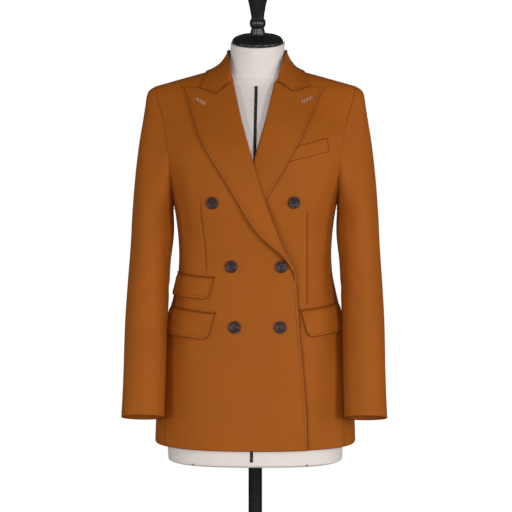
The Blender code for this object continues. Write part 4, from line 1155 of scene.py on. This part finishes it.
def sleeve_ring(place, row):
    turn = 2 * pi * place / RING
    height, x, y, width, depth = SLEEVE[row]
    tilt = CUFF_TILT * np.sin(turn) * (row / (len(SLEEVE) - 1)) ** 2
    return points_of(x + width * np.cos(turn), y - depth * np.sin(turn), height + tilt)


def sleeve_rows(place, side):
    """Rings of the sleeve from the armhole to the cuff, at ring places."""
    start = armhole_points(place) + np.array([SLEEVE_GAP, 0.0, 0.0])
    top = np.maximum(np.cos(2 * pi * place / RING), 0.0)
    first = sleeve_ring(place, 0)
    rings = [start + (first - start) * share + (bulge * top)[..., None] * np.array([1.0, 0.0, 0.0])
             for share, bulge in SLEEVE_CAP]
    rings += [sleeve_ring(place, row) for row in range(len(SLEEVE))]
    return np.array(rings) * np.array([side, 1.0, 1.0])


def sleeve_sheet(side, first, last, width):
    across = first + steps_between(width, FINE_EDGE, FINE_EDGE, 0.0050) * (last - first)
    rings = sleeve_rows(across, side)
    steps = len(rings) - 1
    body = steps_between(0.640, FINE_EDGE, FINE_EDGE, 0.0052)
    walk = walked(rings, 0).mean(axis=1)
    rows = np.interp((1 - body) * walk[-1], walk, np.arange(steps + 1))
    grid = np.array([along_values(rings, row) for row in rows])
    sheet = Sheet(grid, 1.0)
    facing_way = 1 if first == BACK_SLEEVE_SEAM else -1
    if facing_way * side * np.mean(sheet.normals()[..., 0]) < 0:
        sheet.outward = -1.0
    ring_place = np.broadcast_to(np.mod(across, RING), grid.shape[:2])
    relief = np.zeros(grid.shape[:2])
    for start, end, half, rise in FOLDS_SLEEVE:
        for turn in (-RING, 0, RING):
            near = ((start[0] + turn) * RING_PITCH, start[1])
            far = ((end[0] + turn) * RING_PITCH, end[1])
            relief += fold_relief(ring_place * RING_PITCH, grid[..., 2], ((near, far, half, rise),))
    sheet.push(relief * ease(sheet.distances()["top"] / 0.03))
    flat_seam = SEAM_DIP * 0.6
    sheet.finish_edges({"left": flat_seam, "right": flat_seam, "bottom": HEM_DROP, "top": SEAM_DIP},
                       shades={"left": SLEEVE_SEAM_SHADE, "right": SLEEVE_SEAM_SHADE,
                               "bottom": CUFF_SHADE, "top": ARMHOLE_SHADE})
    return sheet


# ---------------------------------------------------------------- pockets

def flap_points(pocket, side, over, along, down, lift):
    inner_x, inner_height, outer_angle, outer_height, _ = pocket
    start = angle_at(inner_x, place_at(inner_x, inner_height))
    angle = start + (outer_angle - start) * along + side * FLAP_SLANT * down * (1 - along)
    height = inner_height + (outer_height - inner_height) * along - down
    return on_side(angle, height, lift, over)


def facing_out(sheet, way):
    if np.mean(sheet.normals() @ np.array(way)) < 0:
        sheet.outward = -sheet.outward
    return sheet


def flap_sheet(side, pocket, over):
    across = steps_between(0.120, PICKED_EDGE, PICKED_EDGE, 0.0035) ** 1.25
    up = steps_between(0.045, PICKED_EDGE, (0.0, 0.0015), 0.0032)
    along, rise = np.meshgrid(across, up)
    depth = pocket[POCKET_COLUMNS.index("depth")]
    near = np.clip(1 - along * FLAP_LENGTH / FLAP_ROUND, 0.0, 1.0)
    far = np.clip(1 - (1 - along) * FLAP_LENGTH / FLAP_OUTER_ROUND, 0.0, 1.0)
    reach = depth - FLAP_ROUND * (1 - np.sqrt(1 - near * near))
    reach = reach - FLAP_OUTER_ROUND * (1 - np.sqrt(1 - far * far)) * FLAP_OUTER_SHARE
    down = reach * (1 - rise)
    hang = FLAP_HANG + FLAP_STEP * ease(down / FLAP_STEP_REACH) + FLAP_SWING * (down / depth) ** 2
    hang = hang + FLAP_WAVE * np.sin(along * 5.0)
    grid = flap_points(pocket, side, over, along, down, hang)
    sheet = facing_out(Sheet(grid, 1.0), (side * 0.4, -1, 0))
    picks = ("left", "right", "bottom")
    sheet.finish_edges(dict.fromkeys(picks, TURNED_EDGE), picks)
    return sheet


def jet_sheet(side, pocket, over):
    """The two narrow rolled lips above a flap, in one piece."""
    along, rise = np.meshgrid(np.linspace(-JET_OVERRUN, 1.0, 60), np.linspace(0.0, 1.0, 29))
    roll = JET_ROLL * np.abs(np.sin(rise * 2 * pi)) ** 0.8
    grid = flap_points(pocket, side, over, along, -JET_DROP - JET_DEPTH * rise, JET_LIFT + roll)
    sheet = facing_out(Sheet(grid, 1.0), (side * 0.4, -1, 0))
    sheet.finish_edges({"left": JET_END, "right": JET_END, "bottom": JET_SIDE, "top": JET_SIDE},
                       shades={"left": JET_END_SHADE, "right": JET_END_SHADE, "bottom": JET_FOOT_SHADE})
    # Painted shade in the groove between the jet's two lips.
    across = (rise - JET_LINE) * JET_DEPTH
    sheet.darken(JET_LINE_SHADE * np.exp(-(across / JET_LINE_WIDTH) ** 2))
    return sheet


def welt_sheet():
    low_start, low_end = np.array(WELT_LOW)
    high_start, high_end = np.array(WELT_HIGH)
    across = steps_between(0.085, FINE_EDGE, PICKED_EDGE, 0.004)
    up = steps_between(0.027, FINE_EDGE, FINE_EDGE, 0.0022)
    along, rise = np.meshgrid(across, up)
    low = low_start + (low_end - low_start) * along[..., None]
    high = high_start + (high_end - high_start) * along[..., None]
    spot = low + (high - low) * rise[..., None]
    sheet = facing_out(Sheet(on_front(spot[..., 0], spot[..., 1], WELT_LIFT), 1.0), (0, -1, 0))
    sheet.finish_edges({"right": WELT_END, "bottom": WELT_FOOT, "top": WELT_TOP})
    return sheet


# ---------------------------------------------------------------- turned pieces

def turned(name, profile, steps, material, angle=35):
    """A round piece: a profile drawn point by point by extruding, then spun about Z."""
    bpy.ops.object.select_all(action="DESELECT")
    start = (profile[0][0], 0.0, profile[0][1])
    bpy.ops.mesh.primitive_circle_add(vertices=3, radius=0.001, location=start)
    piece = bpy.context.object
    piece.name = name
    bpy.ops.object.transform_apply(location=True, rotation=True, scale=True)
    bpy.ops.object.mode_set(mode="EDIT")
    bpy.ops.mesh.select_all(action="SELECT")
    bpy.ops.mesh.merge(type="CENTER")
    for near, far in zip(profile, profile[1:]):
        move = (far[0] - near[0], 0.0, far[1] - near[1])
        bpy.ops.mesh.extrude_region_move(TRANSFORM_OT_translate={"value": move})
    bpy.ops.mesh.select_all(action="SELECT")
    bpy.ops.mesh.spin(steps=steps, angle=2 * pi, center=(0, 0, 0), axis=(0, 0, 1))
    bpy.ops.mesh.select_all(action="SELECT")
    bpy.ops.mesh.remove_doubles(threshold=0.00004)
    bpy.ops.mesh.normals_make_consistent(inside=False)
    bpy.ops.object.mode_set(mode="OBJECT")
    choose(piece)
    bpy.ops.object.shade_smooth_by_angle(angle=radians(angle))
    piece.data.materials.append(material)
    return piece


def smooth_profile(profile, count):
    places = np.linspace(0, len(profile) - 1, count)
    spots = along_values(profile, places)
    spots[:, 0] = np.maximum(spots[:, 0], 0.0)
    return [tuple(spot) for spot in spots]


def set_down(piece, matrix):
    piece.data.transform(matrix)
    piece.data.update()
    return piece


def button_profile():
    """The rim and dished face of a button, from the middle of its face to the middle of its back."""
    radius, thick = BUTTON_DIAMETER / 2, BUTTON_THICKNESS
    return [(0.0, thick * 0.62), (radius * 0.40, thick * 0.62), (radius * 0.56, thick * 0.66),
            (radius * 0.66, thick * 0.82), (radius * 0.74, thick * 0.98), (radius * 0.82, thick * 1.03),
            (radius * 0.90, thick * 0.98), (radius * 0.965, thick * 0.84), (radius, thick * 0.62),
            (radius * 0.985, thick * 0.40), (radius * 0.92, thick * 0.18), (radius * 0.80, thick * 0.04),
            (radius * 0.64, 0.0), (0.0, 0.0)]


def button_master():
    """One four hole button with its holes bored through, lying on the floor plane."""
    piece = turned("button_master", button_profile(), 48, button_horn, 60)
    cutters = []
    for turn in range(4):
        angle = pi / 4 + turn * pi / 2
        spot = (HOLE_REACH * cos(angle), HOLE_REACH * sin(angle), 0)
        bpy.ops.mesh.primitive_cylinder_add(vertices=20, radius=HOLE_RADIUS, depth=0.012, location=spot)
        cutters.append(bpy.context.object)
    choose(*cutters)
    bpy.ops.object.join()
    holes = bpy.context.object
    cut = piece.modifiers.new("Sewing holes", "BOOLEAN")
    cut.operation = "DIFFERENCE"
    cut.object = holes
    apply_modifiers(piece)
    bpy.data.objects.remove(holes)
    return piece


def button_frame(x, height, over):
    spot = Vector(on_front(x, height, CONTACT_GAP + BUTTON_SEAT, over))
    outward = (Vector(on_front(x, height, 0.01, over)) - spot).normalized()
    turn = outward.to_track_quat("Z", "X").to_matrix().to_4x4()
    return Matrix.Translation(spot) @ turn


def build_buttons():
    master = button_master()
    reach = HOLE_REACH / 2**0.5
    level = BUTTON_THICKNESS * 0.62
    for row, height, right_x, left_x in BUTTON_ROWS:
        for hand, x, over in (("right", right_x, True), ("left", left_x, row != "1")):
            node = f"button_{row}_{hand}"
            frame_here = button_frame(x, height, over)
            piece = link("horn_" + node, master.data.copy())
            set_down(piece, frame_here)
            keep(piece, node, slot="button")
            runs = []
            for side in (-1, 1):
                for shift in (-0.00032, 0.00032):
                    run = [Vector((side * reach + shift, -reach, level - 0.0016)),
                           Vector((side * reach + shift, -reach * 0.92, level + 0.0001)),
                           Vector((side * reach + shift, -reach * 0.4, level + 0.0006)),
                           Vector((side * reach + shift, reach * 0.4, level + 0.0006)),
                           Vector((side * reach + shift, reach * 0.92, level + 0.0001)),
                           Vector((side * reach + shift, reach, level - 0.0016))]
                    runs.append([tuple(frame_here @ spot) for spot in run])
            keep(thread_line("thread_" + node, runs, 0.00034, sewing_thread), slot="button")
    bpy.data.objects.remove(master)


# ---------------------------------------------------------------- dress form

def form_value(name, place):
    return column(FORM, FORM_COLUMNS, name, place)


def form_points(angle, place):
    across, along = superellipse(angle, form_value("square", place))
    depth = np.where(along > 0, form_value("front", place), form_value("back", place))
    level = form_value("level", place)
    y = -depth * along
    x = form_value("half", place) * across + neck_lean(level)
    return points_of(x, y + form_value("shift", place), level + form_value("lean", place) * y)


def form_place(level):
    return np.interp(level, [row[0] for row in FORM], np.arange(len(FORM)))


def build_form():
    """The padded form: linen drawn over it, with a neck seam and a turned-under bottom edge."""
    sides = 144
    lower = np.linspace(0, 3, 20)[:-1]
    middle = np.linspace(3, 20, 110)[:-1]
    neck = np.linspace(20, len(FORM) - 1, 60)
    places = np.concatenate([lower, middle, neck])
    turn, place = np.meshgrid(np.arange(sides) * 2 * pi / sides, places)
    grid = form_points(turn, place)
    level = form_value("level", place)
    out = unit(np.stack([np.sin(turn), -np.cos(turn), np.zeros_like(turn)], axis=-1))
    seam = 0.0010 * np.exp(-((level - NECK_SEAM_LEVEL) / 0.0018) ** 2)
    hem_seam = 0.0008 * np.exp(-((level - 0.7150) / 0.0012) ** 2)
    centre_back = 0.0007 * np.exp(-((np.mod(turn, 2 * pi) - pi) * 0.15 / 0.0030) ** 2)
    side_lines = sum(0.0006 * np.exp(-((turn - angle) * 0.15 / 0.0030) ** 2)
                     for angle in (pi / 2, 3 * pi / 2))
    grid = grid - out * (seam + hem_seam + centre_back + side_lines)[..., None]
    rows = len(places)
    index = np.arange(rows * sides).reshape(rows, sides)
    after = np.roll(index, -1, axis=1)
    quads = np.stack([index[:-1], after[:-1], after[1:], index[1:]], axis=-1).reshape(-1, 4)
    spots = grid.reshape(-1, 3)
    faces = quads.tolist() + [index[0][::-1].tolist(), index[-1].tolist()]
    piece = link("linen_form", mesh_of("linen_form", spots, faces))
    choose(piece)
    bpy.ops.object.mode_set(mode="EDIT")
    bpy.ops.mesh.select_all(action="SELECT")
    bpy.ops.mesh.normals_make_consistent(inside=False)
    bpy.ops.object.mode_set(mode="OBJECT")
    bpy.ops.object.shade_smooth_by_angle(angle=radians(40))
    piece.data.materials.append(form_linen)
    keep(piece, "form_torso", slot="linen")


def tape_line(shift, lift):
    """Points up the form's front at a sideways distance from the tape's middle."""
    level = np.linspace(TAPE_LOW, TAPE_TOP, 150)
    share = (level - TAPE_LOW) / (TAPE_TOP - TAPE_LOW)
    place = form_place(level)
    x = TAPE_LOW_X + (TAPE_HIGH_X - TAPE_LOW_X) * share + shift
    angle = x / form_value("half", place)
    step = 0.01
    spot = form_points(angle, place)
    along = form_points(angle + step, place) - form_points(angle - step, place)
    up = form_points(angle, place + step) - form_points(angle, place - step)
    out = unit(np.cross(along, up))
    out = np.where(out[:, 1:2] > 0, -out, out)
    return np.stack([x, spot[:, 1], spot[:, 2]], axis=1) + out * lift, out


def build_tape():
    shares = np.linspace(-0.5, 0.5, 9)
    rise = 0.0005 * (1 - (2 * shares) ** 4)
    lines = [tape_line(TAPE_WIDTH * share, TAPE_THICKNESS + 0.0005 + lift)[0]
             for share, lift in zip(shares, rise)]
    sheet = facing_out(Sheet(np.stack(lines, axis=1), 1.0), (0, -1, 0))
    tape = sheet_piece("front_tape", sheet, tape_cotton, TAPE_THICKNESS + 0.0004)
    keep(tape, "form_tape", slot="tape")
    rows = [tape_line(0.0, TAPE_THICKNESS + 0.0010)]
    keep(stitches("tape_stitches", rows, tape_thread, 0.0016, 0.0007, 0.0003, 0.0155), slot="tape")


def neck_frame():
    top = FORM[-1]
    tilt = top[FORM_COLUMNS.index("lean")]
    level = top[FORM_COLUMNS.index("level")]
    centre = Vector((float(neck_lean(level)), top[FORM_COLUMNS.index("shift")], level))
    raised = centre + Vector((0.0, 0.0, CONTACT_GAP))
    return Matrix.Translation(raised) @ Matrix.Rotation(atan(tilt), 4, "X")


def build_stand():
    """Cap, finial, pole and base, each turned from its profile."""
    radius = CAP_RADIUS
    dome = [(0.0, 0.0165), (0.012, 0.0163)]
    dome += [(radius * sin(radians(a)) * 0.96, 0.006 + 0.0105 * cos(radians(a)))
             for a in (30, 50, 68, 82)]
    rim = [(radius * 0.985, 0.0056), (radius, 0.0045), (radius, 0.0020), (radius * 0.992, 0.0006),
           (radius * 0.97, 0.0), (0.0, 0.0)]
    cap = turned("neck_cap", smooth_profile(dome, 26) + rim, 96, black_lacquer)
    keep(set_down(cap, neck_frame()), "form_cap", slot="lacquer")
    base = 0.0165 + CONTACT_GAP
    top = [(0.0, 0.112), (0.012, 0.1105), (0.0195, 0.105), (0.0225, 0.096), (0.0222, 0.086),
           (0.0195, 0.070), (0.0155, 0.052), (0.0128, 0.036), (0.0122, 0.0285)]
    bead = [(0.0122 + 0.0032 * sin(radians(a)), 0.0205 + 0.0078 * cos(radians(a)))
            for a in range(10, 175, 15)]
    foot = [(0.0122, 0.0120), (0.0128, 0.0080), (0.0140, 0.0040), (0.0142, 0.0), (0.0, 0.0)]
    profile = [(r, h + base) for r, h in smooth_profile(top, 48) + bead + foot]
    finial = turned("neck_finial", profile, 64, black_lacquer, 30)
    keep(set_down(finial, neck_frame()), "form_finial", slot="lacquer")
    high, low = FORM[0][0] - CONTACT_GAP, BASE_THICKNESS + CONTACT_GAP
    pole = turned("pole", [(0.0, high), (POLE_RADIUS - 0.0004, high), (POLE_RADIUS, high - 0.0004),
                           (POLE_RADIUS, low + 0.3), (POLE_RADIUS, low), (0.0, low)], 64, black_steel)
    keep(pole, "form_pole", slot="stand")
    boss = POLE_RADIUS + CONTACT_GAP
    thick = BASE_THICKNESS
    foot = turned("round_base", [
        (0.0, thick), (boss, thick), (boss, 0.0338), (boss + 0.0006, 0.0345), (0.0236, 0.0345),
        (0.0252, 0.0334), (0.0268, 0.0300), (0.0276, 0.0220), (0.0296, 0.0165), (0.0360, 0.0134),
        (0.0500, 0.0122), (0.1000, 0.0117), (BASE_RADIUS - 0.010, thick - 0.0010),
        (BASE_RADIUS - 0.004, 0.0096), (BASE_RADIUS - 0.0012, 0.0076), (BASE_RADIUS, 0.0050),
        (BASE_RADIUS, 0.0008), (BASE_RADIUS - 0.0008, 0.0), (0.0, 0.0)], 128, black_steel)
    keep(foot, "form_base", slot="stand")


def build_tacks():
    """Two small brass tacks low on the form's front."""
    profile = [(0.0, 0.0011), (0.0010, 0.0010), (0.0019, 0.0006), (0.0023, 0.0), (0.0, 0.0)]
    for hand, x in (("right", -0.1140), ("left", 0.0985)):
        place = float(form_place(0.7085))
        angle = 0.0
        for _ in range(30):
            reached = form_points(angle, place)[0]
            angle += (x - float(reached)) / 0.16
        spot = form_points(angle, place)
        along = form_points(angle + 0.01, place) - form_points(angle - 0.01, place)
        up = form_points(angle, place + 0.02) - form_points(angle, place - 0.02)
        out = Vector(np.cross(along, up)).normalized()
        turn = out.to_track_quat("Z", "X").to_matrix().to_4x4()
        tack = turned("tack_" + hand, profile, 24, brass)
        keep(set_down(tack, Matrix.Translation(Vector(spot) + out * 0.0001) @ turn), slot="linen")


# ---------------------------------------------------------------- lapel marks

# For each lapel: whether it is the over one, and from and to as (x, height).
MARKS = {"right": (True, (-0.1083, 1.3842), (-0.0898, 1.3738)),
         "left": (False, (0.0860, 1.3782), (0.1058, 1.3862))}
MARK_STROKES = 4
MARK_HALF_HEIGHT = 0.0034
MARK_THREAD_RADIUS = 0.00048
MARK_LIFT, MARK_ARCH = 0.0064, 0.0004


def build_marks():
    """A short zigzag of pale hand stitching near each lapel's tip."""
    for hand, (over, start, end) in MARKS.items():
        near, far = np.array(start), np.array(end)
        way = (far - near) / np.linalg.norm(far - near)
        side = np.array([-way[1], way[0]]) * MARK_HALF_HEIGHT
        runs = []
        for step in range(MARK_STROKES):
            low, high, after = (near + (far - near) * (step + share) / MARK_STROKES + side * up
                                for share, up in ((0, -1), (0.55, 1), (1, -1)))
            for first, second in ((low, high), (high, after)):
                shares = np.linspace(0.08, 0.92, 5)
                spots = first + (second - first) * shares[:, None]
                lift = MARK_LIFT + MARK_ARCH * np.sin(shares * pi)
                runs.append([tuple(p) for p in on_front(spots[:, 0], spots[:, 1], lift, over)])
        keep(thread_line("lapel_mark_" + hand, runs, MARK_THREAD_RADIUS, mark_thread))


# ---------------------------------------------------------------- putting it together

# Each flap and its jet, the side they are on, and their pocket.
POCKETS = (
    ("pocket_flap_right", "pocket_jet_right", -1, MAIN_POCKET_RIGHT),
    ("pocket_flap_left", "pocket_jet_left", 1, MAIN_POCKET_LEFT),
    ("ticket_flap", "ticket_jet", -1, TICKET_POCKET),
)
# The parts of a sleeve: the seams they run between, in ring steps, and their width.
SLEEVE_PARTS = (
    ("under", FRONT_SLEEVE_SEAM, BACK_SLEEVE_SEAM, 0.095),
    ("top", BACK_SLEEVE_SEAM, RING + FRONT_SLEEVE_SEAM, 0.200),
)
# The height below which the lapped front edge is pick stitched.
PICKED_BELOW = 1.066


def build_blazer():
    """Every cut piece and the jets, and then all the pick stitching as one piece."""
    pick_rows = []

    def pick(sheet, edge, start, end, inset=PICK_INSET):
        pick_rows.append(sheet.line_from(edge, inset, start=start, end=end))

    for side, hand in ((-1, "right"), (1, "left")):
        front = front_sheet(side)
        cloth_piece("front_" + hand, front, suiting)
        if side < 0:
            line, outs = front.line_from("left", PICK_INSET, start=0.006)
            below = line[:, 2] < PICKED_BELOW
            pick_rows.append((line[below], outs[below]))
        cloth_piece("side_" + hand, side_sheet(side), suiting)
        cloth_piece("back_" + hand, back_sheet(side), suiting)
        lapel = lapel_sheet(side)
        cloth_piece("lapel_" + hand, lapel, facing)
        pick(lapel, "right", 0.012, 0.007)
        pick(lapel, "top", 0.040, 0.007)
        for part, first, last, width in SLEEVE_PARTS:
            sleeve = sleeve_sheet(side, first, last, width)
            cloth_piece(f"sleeve_{part}_{hand}", sleeve, suiting)
    collar = collar_sheet()
    cloth_piece("collar", collar, facing)
    pick(collar, "right", 0.007, 0.007)
    pick(collar, "bottom", 0.045, 0.007)
    pick(collar, "top", 0.045, 0.007)
    for name, jet, side, pocket in POCKETS:
        flap = flap_sheet(side, pocket, side < 0)
        front = "wool_front_" + ("right" if side < 0 else "left")
        cloth_piece(name, flap, suiting, FLAP_WALL)
        pick(flap, "bottom", 0.010, 0.007)
        pick(flap, "left", 0.012, 0.002)
        keep(sheet_piece("wool_" + jet, jet_sheet(side, pocket, side < 0), suiting, JET_WALL), jet)
    welt = welt_sheet()
    cloth_piece("breast_welt", welt, suiting, WELT_WALL)
    pick(welt, "right", 0.001, 0.001, 0.0022)
    keep(stitches("pick_stitches", pick_rows, pick_thread))


build_blazer()
build_buttons()
build_marks()
build_form()
build_tape()
build_stand()
build_tacks()


# ---------------------------------------------------------------- floor, light and camera

FLOOR_RADIUS = 1.35
FLOOR_DROP = 0.0006
FLOOR_GREY = (0.62, 0.62, 0.62)
WORLD_LIGHT = 0.06

CAMERA_LENS = 148.0
CAMERA_SHIFT = 0.0014
CAMERA_DISTANCE = 4.0
CAMERA_HEIGHT = 1.29
CAMERA_AZIMUTH = radians(1.3)
CAMERA_AIM = (0.0, 0.0, 1.09)

# Soft lights: place, the point it faces, width and height, and power in watts.
LIGHTS = {
    "softbox_left": ((-2.0, -2.6, 1.20), (0.0, 0.0, 1.10), (0.6, 1.1), 20.0),
    "softbox_right": ((2.0, -2.6, 1.35), (0.0, 0.0, 1.10), (0.6, 1.1), 35.0),
    "front_fill": ((0.1, -4.4, 1.05), (0.0, 0.0, 1.10), (1.2, 1.0), 48.0),
    "top_front": ((0.3, -2.2, 2.30), (0.0, 0.0, 1.10), (0.5, 0.4), 5.0),
    "side_left": ((-2.6, -0.8, 1.30), (0.0, 0.0, 1.20), (0.9, 1.4), 11.0),
    "side_right": ((2.6, -0.8, 1.30), (0.0, 0.0, 1.20), (0.9, 1.4), 17.0),
    "back_fill": ((0.4, 4.0, 1.70), (0.0, 0.0, 1.10), (1.8, 1.4), 60.0),
}


def build_floor():
    bpy.ops.object.select_all(action="DESELECT")
    bpy.ops.mesh.primitive_circle_add(vertices=96, radius=FLOOR_RADIUS, fill_type="NGON",
                                      location=(0.0, 0.0, -FLOOR_DROP))
    floor = bpy.context.object
    floor.name = "studio_floor"
    floor.data.materials.append(new_material("studio_floor", FLOOR_GREY, 0.7)[0])


def area_light(name, spot, target, size, power):
    lamp = bpy.data.lights.new(name, "AREA")
    lamp.shape = "RECTANGLE"
    lamp.size, lamp.size_y = size
    lamp.energy = power
    thing = bpy.data.objects.new(name, lamp)
    thing.location = spot
    thing.rotation_euler = (Vector(target) - Vector(spot)).to_track_quat("-Z", "Y").to_euler()
    bpy.context.scene.collection.objects.link(thing)


def build_world():
    """White to the camera, and a dimmer even light on the blazer."""
    world = bpy.data.worlds.new("studio")
    bpy.context.scene.world = world
    world.use_nodes = True
    tree = world.node_tree
    background = tree.nodes["Background"]
    background.inputs["Color"].default_value = (1.0, 1.0, 1.0, 1.0)
    path = add_node(tree, "ShaderNodeLightPath")
    level = add_node(tree, "ShaderNodeMapRange")
    level.inputs["To Min"].default_value = WORLD_LIGHT
    level.inputs["To Max"].default_value = 1.0
    tree.links.new(path.outputs["Is Camera Ray"], level.inputs["Value"])
    tree.links.new(level.outputs["Result"], background.inputs["Strength"])


def build_camera():
    camera = bpy.data.cameras.new("camera")
    camera.lens = CAMERA_LENS
    camera.sensor_width = 36.0
    camera.shift_x = CAMERA_SHIFT
    camera.clip_end = 50.0
    thing = bpy.data.objects.new("camera", camera)
    bpy.context.scene.collection.objects.link(thing)
    spot = Vector((CAMERA_DISTANCE * sin(CAMERA_AZIMUTH), -CAMERA_DISTANCE * cos(CAMERA_AZIMUTH),
                   CAMERA_HEIGHT))
    thing.location = spot
    thing.rotation_euler = (Vector(CAMERA_AIM) - spot).to_track_quat("-Z", "Y").to_euler()
    bpy.context.scene.camera = thing


build_floor()
build_world()
for light, (spot, target, size, power) in LIGHTS.items():
    area_light(light, spot, target, size, power)
build_camera()
bpy.context.scene.view_settings.view_transform = "Standard"
bpy.context.scene.view_settings.look = "None"
